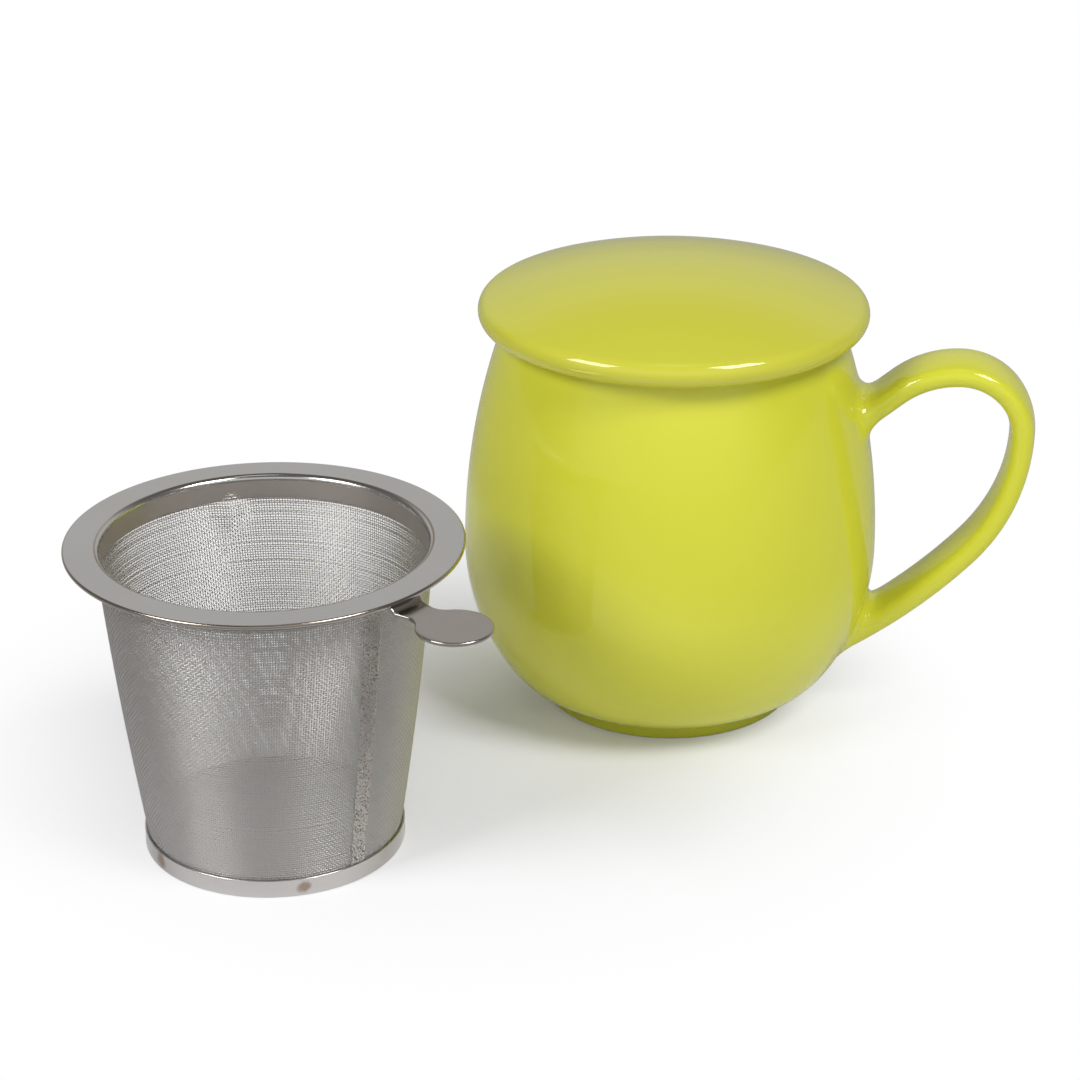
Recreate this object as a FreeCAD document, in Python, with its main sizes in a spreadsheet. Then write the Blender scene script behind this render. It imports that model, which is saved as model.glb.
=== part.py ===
import FreeCAD, Part

import math
import os

import Sketcher
from FreeCAD import Placement, Rotation, Vector

os.makedirs("parts", exist_ok=True)
doc = FreeCAD.newDocument("tea_mug")

# Driving sizes in millimetres and degrees. The mug stands on its foot ring at the origin, with
# its handle towards +X. The infuser stands beside it, on its own bottom band.
SIZES = {
    "foot_inset": 18.5,
    "foot_height": 3.1,
    "foot_edge": 0.8,
    "foot_wall": 3.5,
    "recess_depth": 2.2,
    "belly_radius": 47.8,
    "belly_height": 38.0,
    "belly_drop": 49.0,
    "base_join": 10.0,
    "mug_height": 91.5,
    "mug_wall": 3.0,
    "floor_thickness": 4.4,
    "lip_wall": 2.4,
    "lip_round": 1.1,
    "handle_drop": 8.2,
    "handle_room": 32.1,
    "handle_corner": 14.4,
    "handle_crown": 22.0,
    "upper_slope": 40.0,
    "lower_slope": 33.0,
    "lower_root_height": 17.6,
    "root_inset": 4.6,
    "strap_width": 16.0,
    "strap_thickness": 5.8,
    "strap_edge": 2.4,
    "lid_overhang": 5.5,
    "lid_bead": 3.1,
    "lid_rise": 13.7,
    "lid_wall": 4.5,
    "ring_wall": 3.0,
    "ring_depth": 4.5,
    "ring_edge": 0.8,
    "ring_clearance": 0.4,
    "seat_gap": 0.3,
    "infuser_x": -79.0,
    "infuser_y": -82.0,
    "basket_room": 15.1,
    "flange_overhang": 3.2,
    "flange_thickness": 1.0,
    "rim_round": 1.1,
    "collar_radius": 34.4,
    "collar_depth": 5.2,
    "steel_sheet": 0.5,
    "mouth_clearance": 1.0,
    "mesh_thickness": 0.5,
    "mesh_gap": 0.3,
    "lap_gap": 0.1,
    "wall_foot_radius": 27.1,
    "wall_foot_gap": 0.3,
    "floor_height": 3.0,
    "weld_gap": 0.05,
    "band_height": 4.0,
    "band_gap": 0.1,
    "seam_width": 4.0,
    "seam_thickness": 0.35,
    "seam_azimuth": -44.0,
    "tab_azimuth": -36.0,
    "tab_clearance": 0.7,
    "tab_land": 1.2,
    "tab_ramp": 1.8,
    "tab_step": 1.2,
    "tab_thickness": 0.9,
    "tab_neck": 3.4,
    "tab_root": 4.6,
    "tab_waist": 4.0,
    "tab_paddle": 8.0,
    "tab_reach": 21.1,
}

sheet = doc.addObject("Spreadsheet::Sheet", "Sizes")
for row, (alias, number) in enumerate(SIZES.items(), start=1):
    sheet.set(f"A{row}", alias.replace("_", " "))
    sheet.set(f"B{row}", str(number))
    sheet.setAlias(f"B{row}", alias)
doc.recompute()


class Size:
    """A length worked out from the sheet, held as an expression and as its number."""

    def __init__(self, text, value):
        self.text = text
        self.value = value

    def join(self, mark, other, value):
        return Size(f"({self.text} {mark} {as_size(other).text})", value)

    def __add__(self, other):
        return self.join("+", other, self.value + as_size(other).value)

    def __radd__(self, other):
        return as_size(other) + self

    def __sub__(self, other):
        return self.join("-", other, self.value - as_size(other).value)

    def __rsub__(self, other):
        return as_size(other) - self

    def __mul__(self, other):
        return self.join("*", other, self.value * as_size(other).value)

    def __rmul__(self, other):
        return as_size(other) * self

    def __truediv__(self, other):
        return self.join("/", other, self.value / as_size(other).value)


def as_size(number):
    return number if isinstance(number, Size) else Size(repr(number), number)


def cell(alias):
    return Size(f"Sizes.{alias}", float(getattr(sheet, alias)))


def root(size):
    return Size(f"sqrt({size.text})", math.sqrt(size.value))


def arc_radius(along, across):
    """Radius of an arc that starts along one axis and ends after these two offsets."""
    return (along * along + across * across) / (2 * across)


def new_body(label):
    body = doc.addObject("PartDesign::Body", label)
    body.Label = label
    return body


def new_sketch(body, role, name):
    sketch = body.newObject("Sketcher::SketchObject", name)
    plane = next(item for item in body.Origin.OriginFeatures if item.Role == role)
    sketch.AttachmentSupport = [(plane, "")]
    sketch.MapMode = "FlatFace"
    return sketch


def hold(sketch, corner, edge, end):
    """Fix one end of an edge at a corner, on an axis where the corner lies on it."""
    for kind, size, axis in (("DistanceX", corner[0], -2), ("DistanceY", corner[1], -1)):
        if isinstance(size, Size):
            index = sketch.addConstraint(Sketcher.Constraint(kind, edge, end, size.value))
            sketch.setExpression(f"Constraints[{index}]", size.text)
        else:
            sketch.addConstraint(Sketcher.Constraint("PointOnObject", edge, end, axis))


def arc_between(first, last, radius, turn):
    """Arc from first to last. turn is 1 where it runs anticlockwise and -1 where clockwise."""
    middle = (first + last) * 0.5
    chord = last - first
    height = math.sqrt(max(radius * radius - chord.Length**2 / 4, 0))
    side = Vector(-chord.y, chord.x, 0).normalize() * (height * turn)
    centre = middle + side
    begin, end = (first, last) if turn > 0 else (last, first)
    angles = [math.atan2(p.y - centre.y, p.x - centre.x) for p in (begin, end)]
    circle = Part.Circle(centre, Vector(0, 0, 1), radius)
    return Part.ArcOfCircle(circle, angles[0], angles[1])


def draw(sketch, start, *steps):
    """Closed outline. Each step is a corner, or a corner, an arc radius and a turn."""
    flat = [Vector(*(as_size(part).value for part in start), 0)]
    flat += [Vector(*(as_size(part).value for part in step[:2]), 0) for step in steps]
    previous = start
    count = len(steps)
    for index, step in enumerate(steps):
        first, last = flat[index], flat[index + 1]
        begin, end = 1, 2
        if len(step) == 2:
            edge = sketch.addGeometry(Part.LineSegment(first, last), False)
        else:
            radius, turn = step[2:]
            edge = sketch.addGeometry(arc_between(first, last, radius.value, turn), False)
            number = sketch.addConstraint(Sketcher.Constraint("Radius", edge, radius.value))
            sketch.setExpression(f"Constraints[{number}]", radius.text)
            if turn < 0:
                begin, end = 2, 1
        hold(sketch, previous, edge, begin)
        if index < count - 1:
            hold(sketch, step[:2], edge, end)
        else:
            sketch.addConstraint(Sketcher.Constraint("Coincident", edge, end, 0, first_end))
        if index == 0:
            first_end = begin
        previous = step[:2]


def revolve(body, kind, name, start, *steps, angle=None):
    """Turn an outline of radius and height round the body's own vertical axis."""
    sketch = new_sketch(body, "XZ_Plane", f"{name}_outline")
    draw(sketch, start, *steps)
    turned = body.newObject(kind, name)
    turned.Profile = sketch
    turned.ReferenceAxis = (sketch, ["V_Axis"])
    turned.Angle = 360
    if angle:
        turned.Midplane = True
        turned.setExpression("Angle", angle.text)
    sketch.Visibility = False
    return turned


def stand(item, turn=None):
    """Put an infuser piece at the infuser's place, turned to its azimuth."""
    item.Placement = Placement(Vector(0, 0, 0), Rotation(Vector(0, 0, 1), 0))
    item.setExpression("Placement.Base.x", "Sizes.infuser_x")
    item.setExpression("Placement.Base.y", "Sizes.infuser_y")
    if turn:
        item.setExpression("Placement.Rotation.Angle", f"{turn.text} * 1 deg")


AXIS = 0
TABLE = 0

# The mug: a foot ring, a round base, a full belly and a narrower mouth. The mouth passes the
# infuser's basket, whose mesh wall laps round its collar, and the lip carries its flange.
collar_outside = cell("collar_radius") + cell("steel_sheet")
wall_top_radius = collar_outside + cell("lap_gap") + cell("mesh_thickness")
mouth_radius = wall_top_radius + cell("mouth_clearance")
lip_radius = mouth_radius + cell("lip_wall")
lip_top = cell("mug_height")
lip_round = cell("lip_round")
belly_radius = cell("belly_radius")
belly_height = cell("belly_height")
foot_radius = cell("belly_radius") - cell("foot_inset")
foot_height = cell("foot_height")
foot_edge = cell("foot_edge")

belly_drop = cell("belly_drop")
drop_depth = belly_height - cell("base_join")
drop_in = root(belly_drop * belly_drop - drop_depth * drop_depth)
join_radius = belly_radius - belly_drop + drop_in
normal_out = drop_in / belly_drop
normal_down = drop_depth / belly_drop
base_across = join_radius - foot_radius
base_down = cell("base_join") - foot_height
base_round = (base_across * base_across + base_down * base_down) / (
    2 * (base_across * normal_out - base_down * normal_down)
)
shoulder = arc_radius(lip_top - lip_round - belly_height, belly_radius - lip_radius)


def mug_solid(body):
    return revolve(
        body,
        "PartDesign::Revolution",
        f"{body.Label}_form",
        (AXIS, TABLE),
        (foot_radius - foot_edge, TABLE),
        (foot_radius, foot_edge, foot_edge, 1),
        (foot_radius, foot_height),
        (join_radius, cell("base_join"), base_round, 1),
        (belly_radius, belly_height, belly_drop, 1),
        (lip_radius, lip_top - lip_round, shoulder, 1),
        (lip_radius - lip_round, lip_top, lip_round, 1),
        (AXIS, lip_top),
        (AXIS, TABLE),
    )


mug_body = new_body("mug_body")
mug_solid(mug_body)

mug_wall = cell("mug_wall")
inner_belly = belly_radius - mug_wall
inner_drop = belly_drop - mug_wall
inner_join_radius = join_radius - mug_wall * normal_out
inner_join_height = cell("base_join") + mug_wall * normal_down
inner_round = base_round - mug_wall
round_x = join_radius - base_round * normal_out
round_z = cell("base_join") + base_round * normal_down
inner_floor = foot_height + cell("floor_thickness")
floor_drop = round_z - inner_floor
floor_radius = round_x + root(inner_round * inner_round - floor_drop * floor_drop)
inner_shoulder = arc_radius(lip_top - lip_round - belly_height, inner_belly - mouth_radius)
revolve(
    mug_body,
    "PartDesign::Groove",
    "mug_hollow",
    (AXIS, inner_floor),
    (floor_radius, inner_floor),
    (inner_join_radius, inner_join_height, inner_round, 1),
    (inner_belly, belly_height, inner_drop, 1),
    (mouth_radius, lip_top - lip_round, inner_shoulder, 1),
    (mouth_radius + lip_round, lip_top, lip_round, -1),
    (AXIS, lip_top),
    (AXIS, inner_floor),
)
revolve(
    mug_body,
    "PartDesign::Groove",
    "foot_recess",
    (AXIS, TABLE),
    (foot_radius - cell("foot_wall"), TABLE),
    (foot_radius - cell("foot_wall"), cell("recess_depth")),
    (AXIS, cell("recess_depth")),
    (AXIS, TABLE),
)

# The handle: a flattened strap on one upright plane. It rises from the upper root, turns over
# a crown and a tighter corner, and runs back to the lower root in two tangent arcs.


def strap_section(centre, along):
    """Flattened oval of four tangent arcs, square to the way the strap runs."""
    width, thickness = cell("strap_width").value, cell("strap_thickness").value
    edge = cell("strap_edge").value
    reach = width / 2 - edge
    crown = (reach**2 + thickness**2 / 4 - edge**2) / (thickness - 2 * edge)
    lean = math.atan2(reach, crown - thickness / 2)
    across = Vector(0, 1, 0)
    out = along.cross(across).normalize()

    def point(side, up):
        return centre + across * side + out * up

    turn_side = reach + edge * math.sin(lean)
    turn_up = edge * math.cos(lean)
    ring = [
        ((-turn_side, turn_up), (0, thickness / 2), (turn_side, turn_up)),
        ((turn_side, turn_up), (width / 2, 0), (turn_side, -turn_up)),
        ((turn_side, -turn_up), (0, -thickness / 2), (-turn_side, -turn_up)),
        ((-turn_side, -turn_up), (-width / 2, 0), (-turn_side, turn_up)),
    ]
    return Part.Wire([Part.Arc(*(point(*p) for p in arc)).toShape() for arc in ring])


def tangent_arc(first, heading, last):
    """Arc that leaves first along heading and ends at last, with its heading there."""
    chord = last - first
    ahead = chord.dot(heading)
    end_heading = chord * (2 * ahead / chord.dot(chord)) - heading
    halfway = (heading + end_heading).normalize()
    bulge = (heading - end_heading).normalize()
    half_turn = math.acos(max(-1, min(1, heading.dot(halfway))))
    rise = chord.Length / 2 * math.tan(half_turn / 2)
    return Part.Arc(first, (first + last) * 0.5 + bulge * rise, last).toShape(), end_heading


def double_arc(first, heading, last, end_heading):
    """Two arcs that leave first along heading and reach last along end_heading."""
    chord = last - first
    both = heading + end_heading
    slack = 2 * (1 - heading.dot(end_heading))
    pull = chord.dot(both)
    reach = (math.sqrt(pull**2 + slack * chord.dot(chord)) - pull) / slack
    join = (first + heading * reach + last - end_heading * reach) * 0.5
    near, middle_heading = tangent_arc(first, heading, join)
    far, _ = tangent_arc(join, middle_heading, last)
    return [near, far]


def handle_path():
    crown = cell("handle_crown").value
    corner = cell("handle_corner").value
    top = cell("mug_height").value - cell("handle_drop").value
    reach = cell("belly_radius").value + cell("handle_room").value
    slope = math.radians(cell("upper_slope").value)
    fall = math.radians(cell("lower_slope").value)
    apex = Vector(reach - corner, 0, top)
    side = Vector(reach, 0, top - corner)
    rise = Vector(math.cos(slope), 0, math.sin(slope))
    crown_start = apex + Vector(-crown * math.sin(slope), 0, crown * (math.cos(slope) - 1))
    inner = cell("belly_radius").value - 3 * cell("root_inset").value
    upper_root = crown_start - rise * ((crown_start.x - inner) / rise.x)
    inward = Vector(-math.cos(fall), 0, -math.sin(fall))
    skin = cell("belly_radius").value - cell("root_inset").value
    lower_skin = Vector(skin, 0, cell("lower_root_height").value)
    lower_root = lower_skin + inward * (2 * cell("root_inset").value)
    rising, _ = tangent_arc(crown_start, rise, apex)
    turning, _ = tangent_arc(apex, Vector(1, 0, 0), side)
    returning = double_arc(side, Vector(0, 0, -1), lower_skin, inward)
    edges = [Part.LineSegment(upper_root, crown_start).toShape(), rising, turning, *returning]
    edges.append(Part.LineSegment(lower_skin, lower_root).toShape())
    return Part.Wire(edges), upper_root, rise


path, path_start, path_heading = handle_path()
strap = doc.addObject("Part::Feature", "strap")
strap.Shape = path.makePipeShell([strap_section(path_start, path_heading)], True, False)

mug_form = new_body("mug_form")
mug_solid(mug_form)
mug_handle = doc.addObject("Part::Cut", "mug_handle")
mug_handle.Label = "mug_handle"
mug_handle.Base = strap
mug_handle.Tool = mug_form

# The slope of the infuser's mesh wall, which its collar follows from under the flange.
rim_top = lip_top - foot_height - cell("floor_thickness") - cell("basket_room") + cell("flange_thickness")
rim_under = rim_top - cell("flange_thickness")
collar_bottom = rim_top - cell("collar_depth")
mesh = cell("mesh_thickness")
wall_foot = cell("wall_foot_gap")
wall_top = rim_under - cell("mesh_gap")
wall_foot_radius = cell("wall_foot_radius")
taper = (wall_top_radius - wall_foot_radius) / (wall_top - wall_foot)


def wall_radius(height):
    return wall_foot_radius + taper * (height - wall_foot)


collar_foot = wall_radius(collar_bottom) - mesh - cell("lap_gap") - cell("steel_sheet")

# The lid: a low dome with a round bead at its edge, hollow beneath, and a ring that sits inside
# the mug's mouth or inside the infuser's collar.
lid = new_body("lid")
lid_seat = lip_top + cell("seat_gap")
bead = cell("lid_bead")
lid_radius = lip_radius + cell("lid_overhang")
bead_centre = lid_radius - bead
bead_height = lid_seat + bead
lid_top = lid_seat + cell("lid_rise")
dome_room = cell("lid_rise") - 2 * bead
dome_below = (bead_centre * bead_centre - dome_room * dome_room) / (2 * dome_room)
dome_centre = bead_height - dome_below
dome_radius = lid_top - dome_centre
bead_share = bead / (dome_radius - bead)
bead_top = (bead_centre + bead_centre * bead_share, bead_height + dome_below * bead_share)
ring_outside = collar_foot - cell("ring_clearance")
ring_inside = ring_outside - cell("ring_wall")
ring_bottom = lid_seat - cell("ring_depth")
ring_edge = cell("ring_edge")
under_radius = dome_radius - cell("lid_wall")
under_edge = dome_centre + root(under_radius * under_radius - ring_inside * ring_inside)
revolve(
    lid,
    "PartDesign::Revolution",
    "lid_form",
    (AXIS, lid_top - cell("lid_wall")),
    (ring_inside, under_edge, under_radius, -1),
    (ring_inside, ring_bottom),
    (ring_outside - ring_edge, ring_bottom),
    (ring_outside, ring_bottom + ring_edge, ring_edge, 1),
    (ring_outside, lid_seat),
    (bead_centre, lid_seat),
    (lid_radius, bead_height, bead, 1),
    (*bead_top, bead, 1),
    (AXIS, lid_top, dome_radius, 1),
    (AXIS, lid_top - cell("lid_wall")),
)

# The infuser's rim: a flat pressed flange that turns over a small round into a tapered collar.
rim_ring = new_body("rim_ring")
flange_radius = lip_radius + cell("flange_overhang")
collar_radius = cell("collar_radius")
revolve(
    rim_ring,
    "PartDesign::Revolution",
    "rim_form",
    (collar_foot, collar_bottom),
    (collar_foot + cell("steel_sheet"), collar_bottom),
    (collar_outside, rim_under),
    (flange_radius, rim_under),
    (flange_radius, rim_top),
    (collar_radius + cell("rim_round"), rim_top),
    (collar_radius, rim_top - cell("rim_round"), cell("rim_round"), 1),
    (collar_foot, collar_bottom),
)
stand(rim_ring)

# The basket: a tapered mesh wall that laps round the outside of the collar, with a mesh floor
# above the bottom edge of the band that holds the wall's foot.
mesh_wall = new_body("mesh_wall")
revolve(
    mesh_wall,
    "PartDesign::Revolution",
    "wall_form",
    (wall_foot_radius - mesh, wall_foot),
    (wall_foot_radius, wall_foot),
    (wall_top_radius, wall_top),
    (wall_top_radius - mesh, wall_top),
    (wall_foot_radius - mesh, wall_foot),
)
stand(mesh_wall)

mesh_floor = new_body("mesh_floor")
floor_low = cell("floor_height")
floor_edge = wall_radius(floor_low) - mesh - cell("band_gap")
revolve(
    mesh_floor,
    "PartDesign::Revolution",
    "floor_form",
    (AXIS, floor_low),
    (floor_edge, floor_low),
    (floor_edge, floor_low + mesh),
    (AXIS, floor_low + mesh),
    (AXIS, floor_low),
)
stand(mesh_floor)

bottom_band = new_body("bottom_band")
band_top = cell("band_height")
band_inside = wall_radius(band_top) + cell("band_gap")
band_outside = band_inside + cell("steel_sheet")
revolve(
    bottom_band,
    "PartDesign::Revolution",
    "band_form",
    (band_inside, TABLE),
    (band_outside, TABLE),
    (band_outside, band_top),
    (band_inside, band_top),
    (band_inside, TABLE),
)
stand(bottom_band)

# The lapped edge of the mesh, welded up the outside of the wall in line with the tab.
mesh_seam = new_body("mesh_seam")
seam_low = band_top + cell("mesh_gap")
seam_high = wall_top
seam_gap = cell("weld_gap")
seam_inner_low = wall_radius(seam_low) + seam_gap
seam_inner_high = wall_radius(seam_high) + seam_gap
seam_span = cell("seam_width") / wall_radius(seam_high) * (180 / math.pi)
revolve(
    mesh_seam,
    "PartDesign::Revolution",
    "seam_form",
    (seam_inner_low, seam_low),
    (seam_inner_low + cell("seam_thickness"), seam_low),
    (seam_inner_high + cell("seam_thickness"), seam_high),
    (seam_inner_high, seam_high),
    (seam_inner_low, seam_low),
    angle=seam_span,
)
stand(mesh_seam, cell("seam_azimuth"))

# The thumb tab: a sheet strip welded under the flange just outside the mug's lip, stepped down
# and cut to a narrow neck and a round paddle.
tab_start = lip_radius + cell("tab_clearance")
tab_tip = flange_radius + cell("tab_reach")
tab = cell("tab_thickness")
land_end = tab_start + cell("tab_land")
ramp_end = land_end + cell("tab_ramp")
tab_low = rim_under - cell("tab_step")

tab_strip = new_body("tab_strip")
strip_sketch = new_sketch(tab_strip, "XZ_Plane", "strip_outline")
draw(
    strip_sketch,
    (tab_start, rim_under - tab),
    (land_end, rim_under - tab),
    (ramp_end, tab_low - tab),
    (tab_tip, tab_low - tab),
    (tab_tip, tab_low),
    (ramp_end, tab_low),
    (land_end, rim_under),
    (tab_start, rim_under),
    (tab_start, rim_under - tab),
)
strip_pad = tab_strip.newObject("PartDesign::Pad", "strip_pad")
strip_pad.Profile = strip_sketch
strip_pad.Midplane = True
strip_pad.setExpression("Length", "Sizes.tab_paddle * 2 + Sizes.tab_root")

tab_blank = new_body("tab_blank")
blank_sketch = new_sketch(tab_blank, "XY_Plane", "blank_outline")
neck = cell("tab_neck")
waist = cell("tab_waist")
paddle = cell("tab_paddle")
paddle_x = tab_tip - paddle
waist_y = neck + waist
waist_x = paddle_x - root((paddle + waist) * (paddle + waist) - waist_y * waist_y)
share = paddle / (paddle + waist)
meet_x = paddle_x - (paddle_x - waist_x) * share
meet_y = waist_y * share
root_half = cell("tab_root")
draw(
    blank_sketch,
    (tab_start, 0 - root_half),
    (waist_x, 0 - neck),
    (meet_x, 0 - meet_y, waist, -1),
    (tab_tip, TABLE, paddle, 1),
    (meet_x, meet_y, paddle, 1),
    (waist_x, neck, waist, -1),
    (tab_start, root_half),
    (tab_start, 0 - root_half),
)
blank_pad = tab_blank.newObject("PartDesign::Pad", "blank_pad")
blank_pad.Profile = blank_sketch
blank_pad.setExpression("Length", rim_top.text)

thumb_tab = doc.addObject("Part::Common", "thumb_tab")
thumb_tab.Label = "thumb_tab"
thumb_tab.Base = tab_strip
thumb_tab.Tool = tab_blank
stand(thumb_tab, cell("tab_azimuth"))

doc.recompute()

PIECES = [
    mug_body,
    mug_handle,
    lid,
    rim_ring,
    mesh_wall,
    mesh_seam,
    mesh_floor,
    bottom_band,
    thumb_tab,
]

for item in doc.Objects:
    if "Invalid" in item.State or "Error" in item.State:
        raise RuntimeError(f"{item.Label} did not compute: {item.State}")

for piece in PIECES:
    shape = piece.Shape
    if shape.isNull() or not shape.isValid() or len(shape.Solids) != 1:
        raise RuntimeError(f"{piece.Label} is not one valid solid")

for piece in PIECES:
    piece.Shape.exportStep(f"parts/{piece.Label}.step")
    box = piece.Shape.BoundBox
    print(
        f"{piece.Label}: volume {piece.Shape.Volume:.1f},"
        f" x {box.XMin:.1f} to {box.XMax:.1f},"
        f" y {box.YMin:.1f} to {box.YMax:.1f},"
        f" z {box.ZMin:.1f} to {box.ZMax:.1f}"
    )
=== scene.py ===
"""Looks of a lidded tea mug and its infuser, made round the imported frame.

Lengths are in metres in the frame's axes: Z up, the mug's axis at the origin with the handle
towards +X, and the infuser standing beside the mug on its own bottom band."""

import math

import bmesh
import bpy
import numpy as np
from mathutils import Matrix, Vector


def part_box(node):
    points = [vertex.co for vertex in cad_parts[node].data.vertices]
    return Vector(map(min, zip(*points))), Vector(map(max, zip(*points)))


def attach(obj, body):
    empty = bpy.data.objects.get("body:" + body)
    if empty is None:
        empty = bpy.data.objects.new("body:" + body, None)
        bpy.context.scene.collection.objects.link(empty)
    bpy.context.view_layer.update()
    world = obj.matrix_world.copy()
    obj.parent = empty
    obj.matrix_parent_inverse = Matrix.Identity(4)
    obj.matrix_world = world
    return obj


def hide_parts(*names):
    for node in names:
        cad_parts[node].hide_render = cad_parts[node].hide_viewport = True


bl_info = {
    "name": "Lidded Tea Mug with Infuser",
    "version": (1, 0, 0),
    "blender": (4, 5, 0),
    "location": "View3D > Sidebar > Tea Mug",
    "description": "Glazed tea mug with a loose lid and a woven steel infuser",
    "category": "Add Mesh",
}

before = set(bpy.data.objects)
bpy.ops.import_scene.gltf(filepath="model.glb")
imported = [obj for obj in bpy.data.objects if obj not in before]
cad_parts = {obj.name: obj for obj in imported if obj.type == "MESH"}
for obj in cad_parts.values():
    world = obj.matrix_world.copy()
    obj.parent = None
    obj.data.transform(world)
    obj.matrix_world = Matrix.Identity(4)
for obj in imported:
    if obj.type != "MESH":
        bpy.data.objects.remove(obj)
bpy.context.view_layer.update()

MM = 0.001


def lowest(node):
    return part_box(node)[0]


def highest(node):
    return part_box(node)[1]


# Sizes read from the frame
BELLY_RADIUS = -lowest("mug_body").x
MUG_HEIGHT = highest("mug_body").z
HANDLE_REACH = highest("mug_handle").x
HANDLE_TOP = highest("mug_handle").z
STRAP_WIDTH = highest("mug_handle").y - lowest("mug_handle").y
LID_RADIUS = highest("lid").x
LID_TOP = highest("lid").z
LID_BOTTOM = lowest("lid").z
RIM_TOP = highest("rim_ring").z
COLLAR_BOTTOM = lowest("rim_ring").z
FLANGE_RADIUS = (highest("rim_ring").x - lowest("rim_ring").x) / 2
INFUSER_X = (highest("rim_ring").x + lowest("rim_ring").x) / 2
INFUSER_Y = (highest("rim_ring").y + lowest("rim_ring").y) / 2
BAND_RADIUS = (highest("bottom_band").x - lowest("bottom_band").x) / 2
BAND_HEIGHT = highest("bottom_band").z
WALL_TOP = highest("mesh_wall").z
WALL_FOOT = lowest("mesh_wall").z
WALL_TOP_RADIUS = (highest("mesh_wall").x - lowest("mesh_wall").x) / 2
FLOOR_LOW = lowest("mesh_floor").z
FLOOR_HIGH = highest("mesh_floor").z
FLOOR_RADIUS = (highest("mesh_floor").x - lowest("mesh_floor").x) / 2
SEAM_LOW = lowest("mesh_seam").z
SEAM_HIGH = highest("mesh_seam").z

# Sizes of the mug and its handle
FOOT_RADIUS = 29.3 * MM
FOOT_EDGE = 0.8 * MM
FOOT_HEIGHT = 3.1 * MM
FOOT_WALL = 3.5 * MM
FOOT_ROUND = 0.7 * MM
RECESS_DEPTH = 2.2 * MM
BASE_JOIN = 10.0 * MM
BELLY_HEIGHT = 38.0 * MM
BELLY_DROP = 49.0 * MM
MOUTH_RADIUS = 36.5 * MM
LIP_RADIUS = 38.9 * MM
LIP_ROUND = 1.1 * MM
WALL = 3.0 * MM
INNER_FLOOR = 7.5 * MM
STRAP_THICKNESS = 5.8 * MM
STRAP_EDGE = 2.4 * MM
CROWN = 22.0 * MM
CORNER = 14.4 * MM
RISE = math.radians(40)
FALL = math.radians(33)
LOWER_ROOT = complex(43.2, 17.6) * MM
ROOT_INSET = 4.6 * MM
CUT_DEPTH = 1.5 * MM
LOW_ROOT = 13.0 * MM
HIGH_ROOT = 24.0 * MM
LOW_SHARE = 0.35
SINK_SHARE = 0.4
ROOT_SPREAD = 1.6

# Sizes of the lid
BEAD = 3.1 * MM
SEAT_GAP = 0.3 * MM
LID_WALL = 4.5 * MM
RING_WALL = 3.0 * MM
RING_ROUND = 0.8 * MM

# Sizes of the infuser
COLLAR_RADIUS = 34.4 * MM
STEEL_SHEET = 0.5 * MM
FLANGE_THICKNESS = 1.0 * MM
RIM_ROUND = 1.1 * MM
WALL_FOOT_RADIUS = 27.1 * MM
MESH_THICKNESS = 0.5 * MM
LAP_GAP = 0.1 * MM
WALL_TAPER = (WALL_TOP_RADIUS - WALL_FOOT_RADIUS) / (WALL_TOP - WALL_FOOT)
COLLAR_FOOT = (
    WALL_FOOT_RADIUS + WALL_TAPER * (COLLAR_BOTTOM - WALL_FOOT) - MESH_THICKNESS - LAP_GAP - STEEL_SHEET
)
RING_CLEARANCE = 0.4 * MM
RING_OUTSIDE = COLLAR_FOOT - RING_CLEARANCE
TAB_START = 39.6 * MM
TAB_LAND = 1.2 * MM
TAB_RAMP = 1.8 * MM
TAB_STEP = 1.2 * MM
TAB_THICKNESS = 0.9 * MM
TAB_NECK = 3.4 * MM
TAB_ROOT = 4.6 * MM
TAB_WAIST = 4.0 * MM
TAB_PADDLE = 8.0 * MM
TAB_REACH = 21.1 * MM
TAB_TURN = math.radians(-36)
SEAM_TURN = math.radians(-44)
SEAM_WIDTH = 4.0 * MM
SEAM_THICKNESS = 0.35 * MM
SEAM_GAP = 0.05 * MM
BAND_WELDS = ((-67.0, 1.9), (-139.0, 2.2), (4.0, 2.0), (88.0, 2.0), (160.0, 1.9))
WELD_HEIGHT = 2.1 * MM
ROLLED_EDGE = 0.42 * MM
SHEET_EDGE = 0.2 * MM
COLLAR_EDGE = 0.15 * MM
TAB_EDGE = 0.3 * MM

# Where the glaze ends and where it pools
BARE_HEIGHT = 0.3 * MM
RAGGED_SPREAD = 0.4 * MM
POOL_LOW = 3.0 * MM
POOL_HIGH = 9.0 * MM

# How finely the forms are made
ROUND_SEGMENTS = 384
SMALL_SEGMENTS = 256
WALL_SEGMENTS = 48
BODY_STRIDE = 0.95 * MM
INSIDE_STRIDE = 2.2 * MM
STRAP_STRIDE = 0.7 * MM
FLOW_STRIDE = 1.0 * MM
CUTTER_STRIDE = 1.5 * MM
LID_STRIDE = 0.7 * MM
RIM_STRIDE = 0.8 * MM
BAND_STRIDE = 0.5 * MM
EDGE_STEPS = 26
FACE_STEPS = 12
NECK_STEPS = 14
WAIST_STEPS = 16
PADDLE_STEPS = 40
ROUND_STEPS = 5
HALVINGS = 16
FLOW_LIMIT = 0.48
DOUBLES = 1e-7
SHARP = math.radians(38)
HANDLE_SHARP = math.radians(60)


# Properties
def length(name, description, default, low=0.0, high=1.0):
    return bpy.props.FloatProperty(
        name=name,
        description=description,
        default=default,
        min=low,
        max=high,
        unit="LENGTH",
        precision=5,
    )


def share(name, description, default):
    return bpy.props.FloatProperty(
        name=name, description=description, default=default, min=0.0, max=1.0, subtype="FACTOR"
    )


def colour(name, description, default):
    return bpy.props.FloatVectorProperty(
        name=name, description=description, default=default, size=3, min=0.0, max=1.0, subtype="COLOR"
    )


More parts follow.
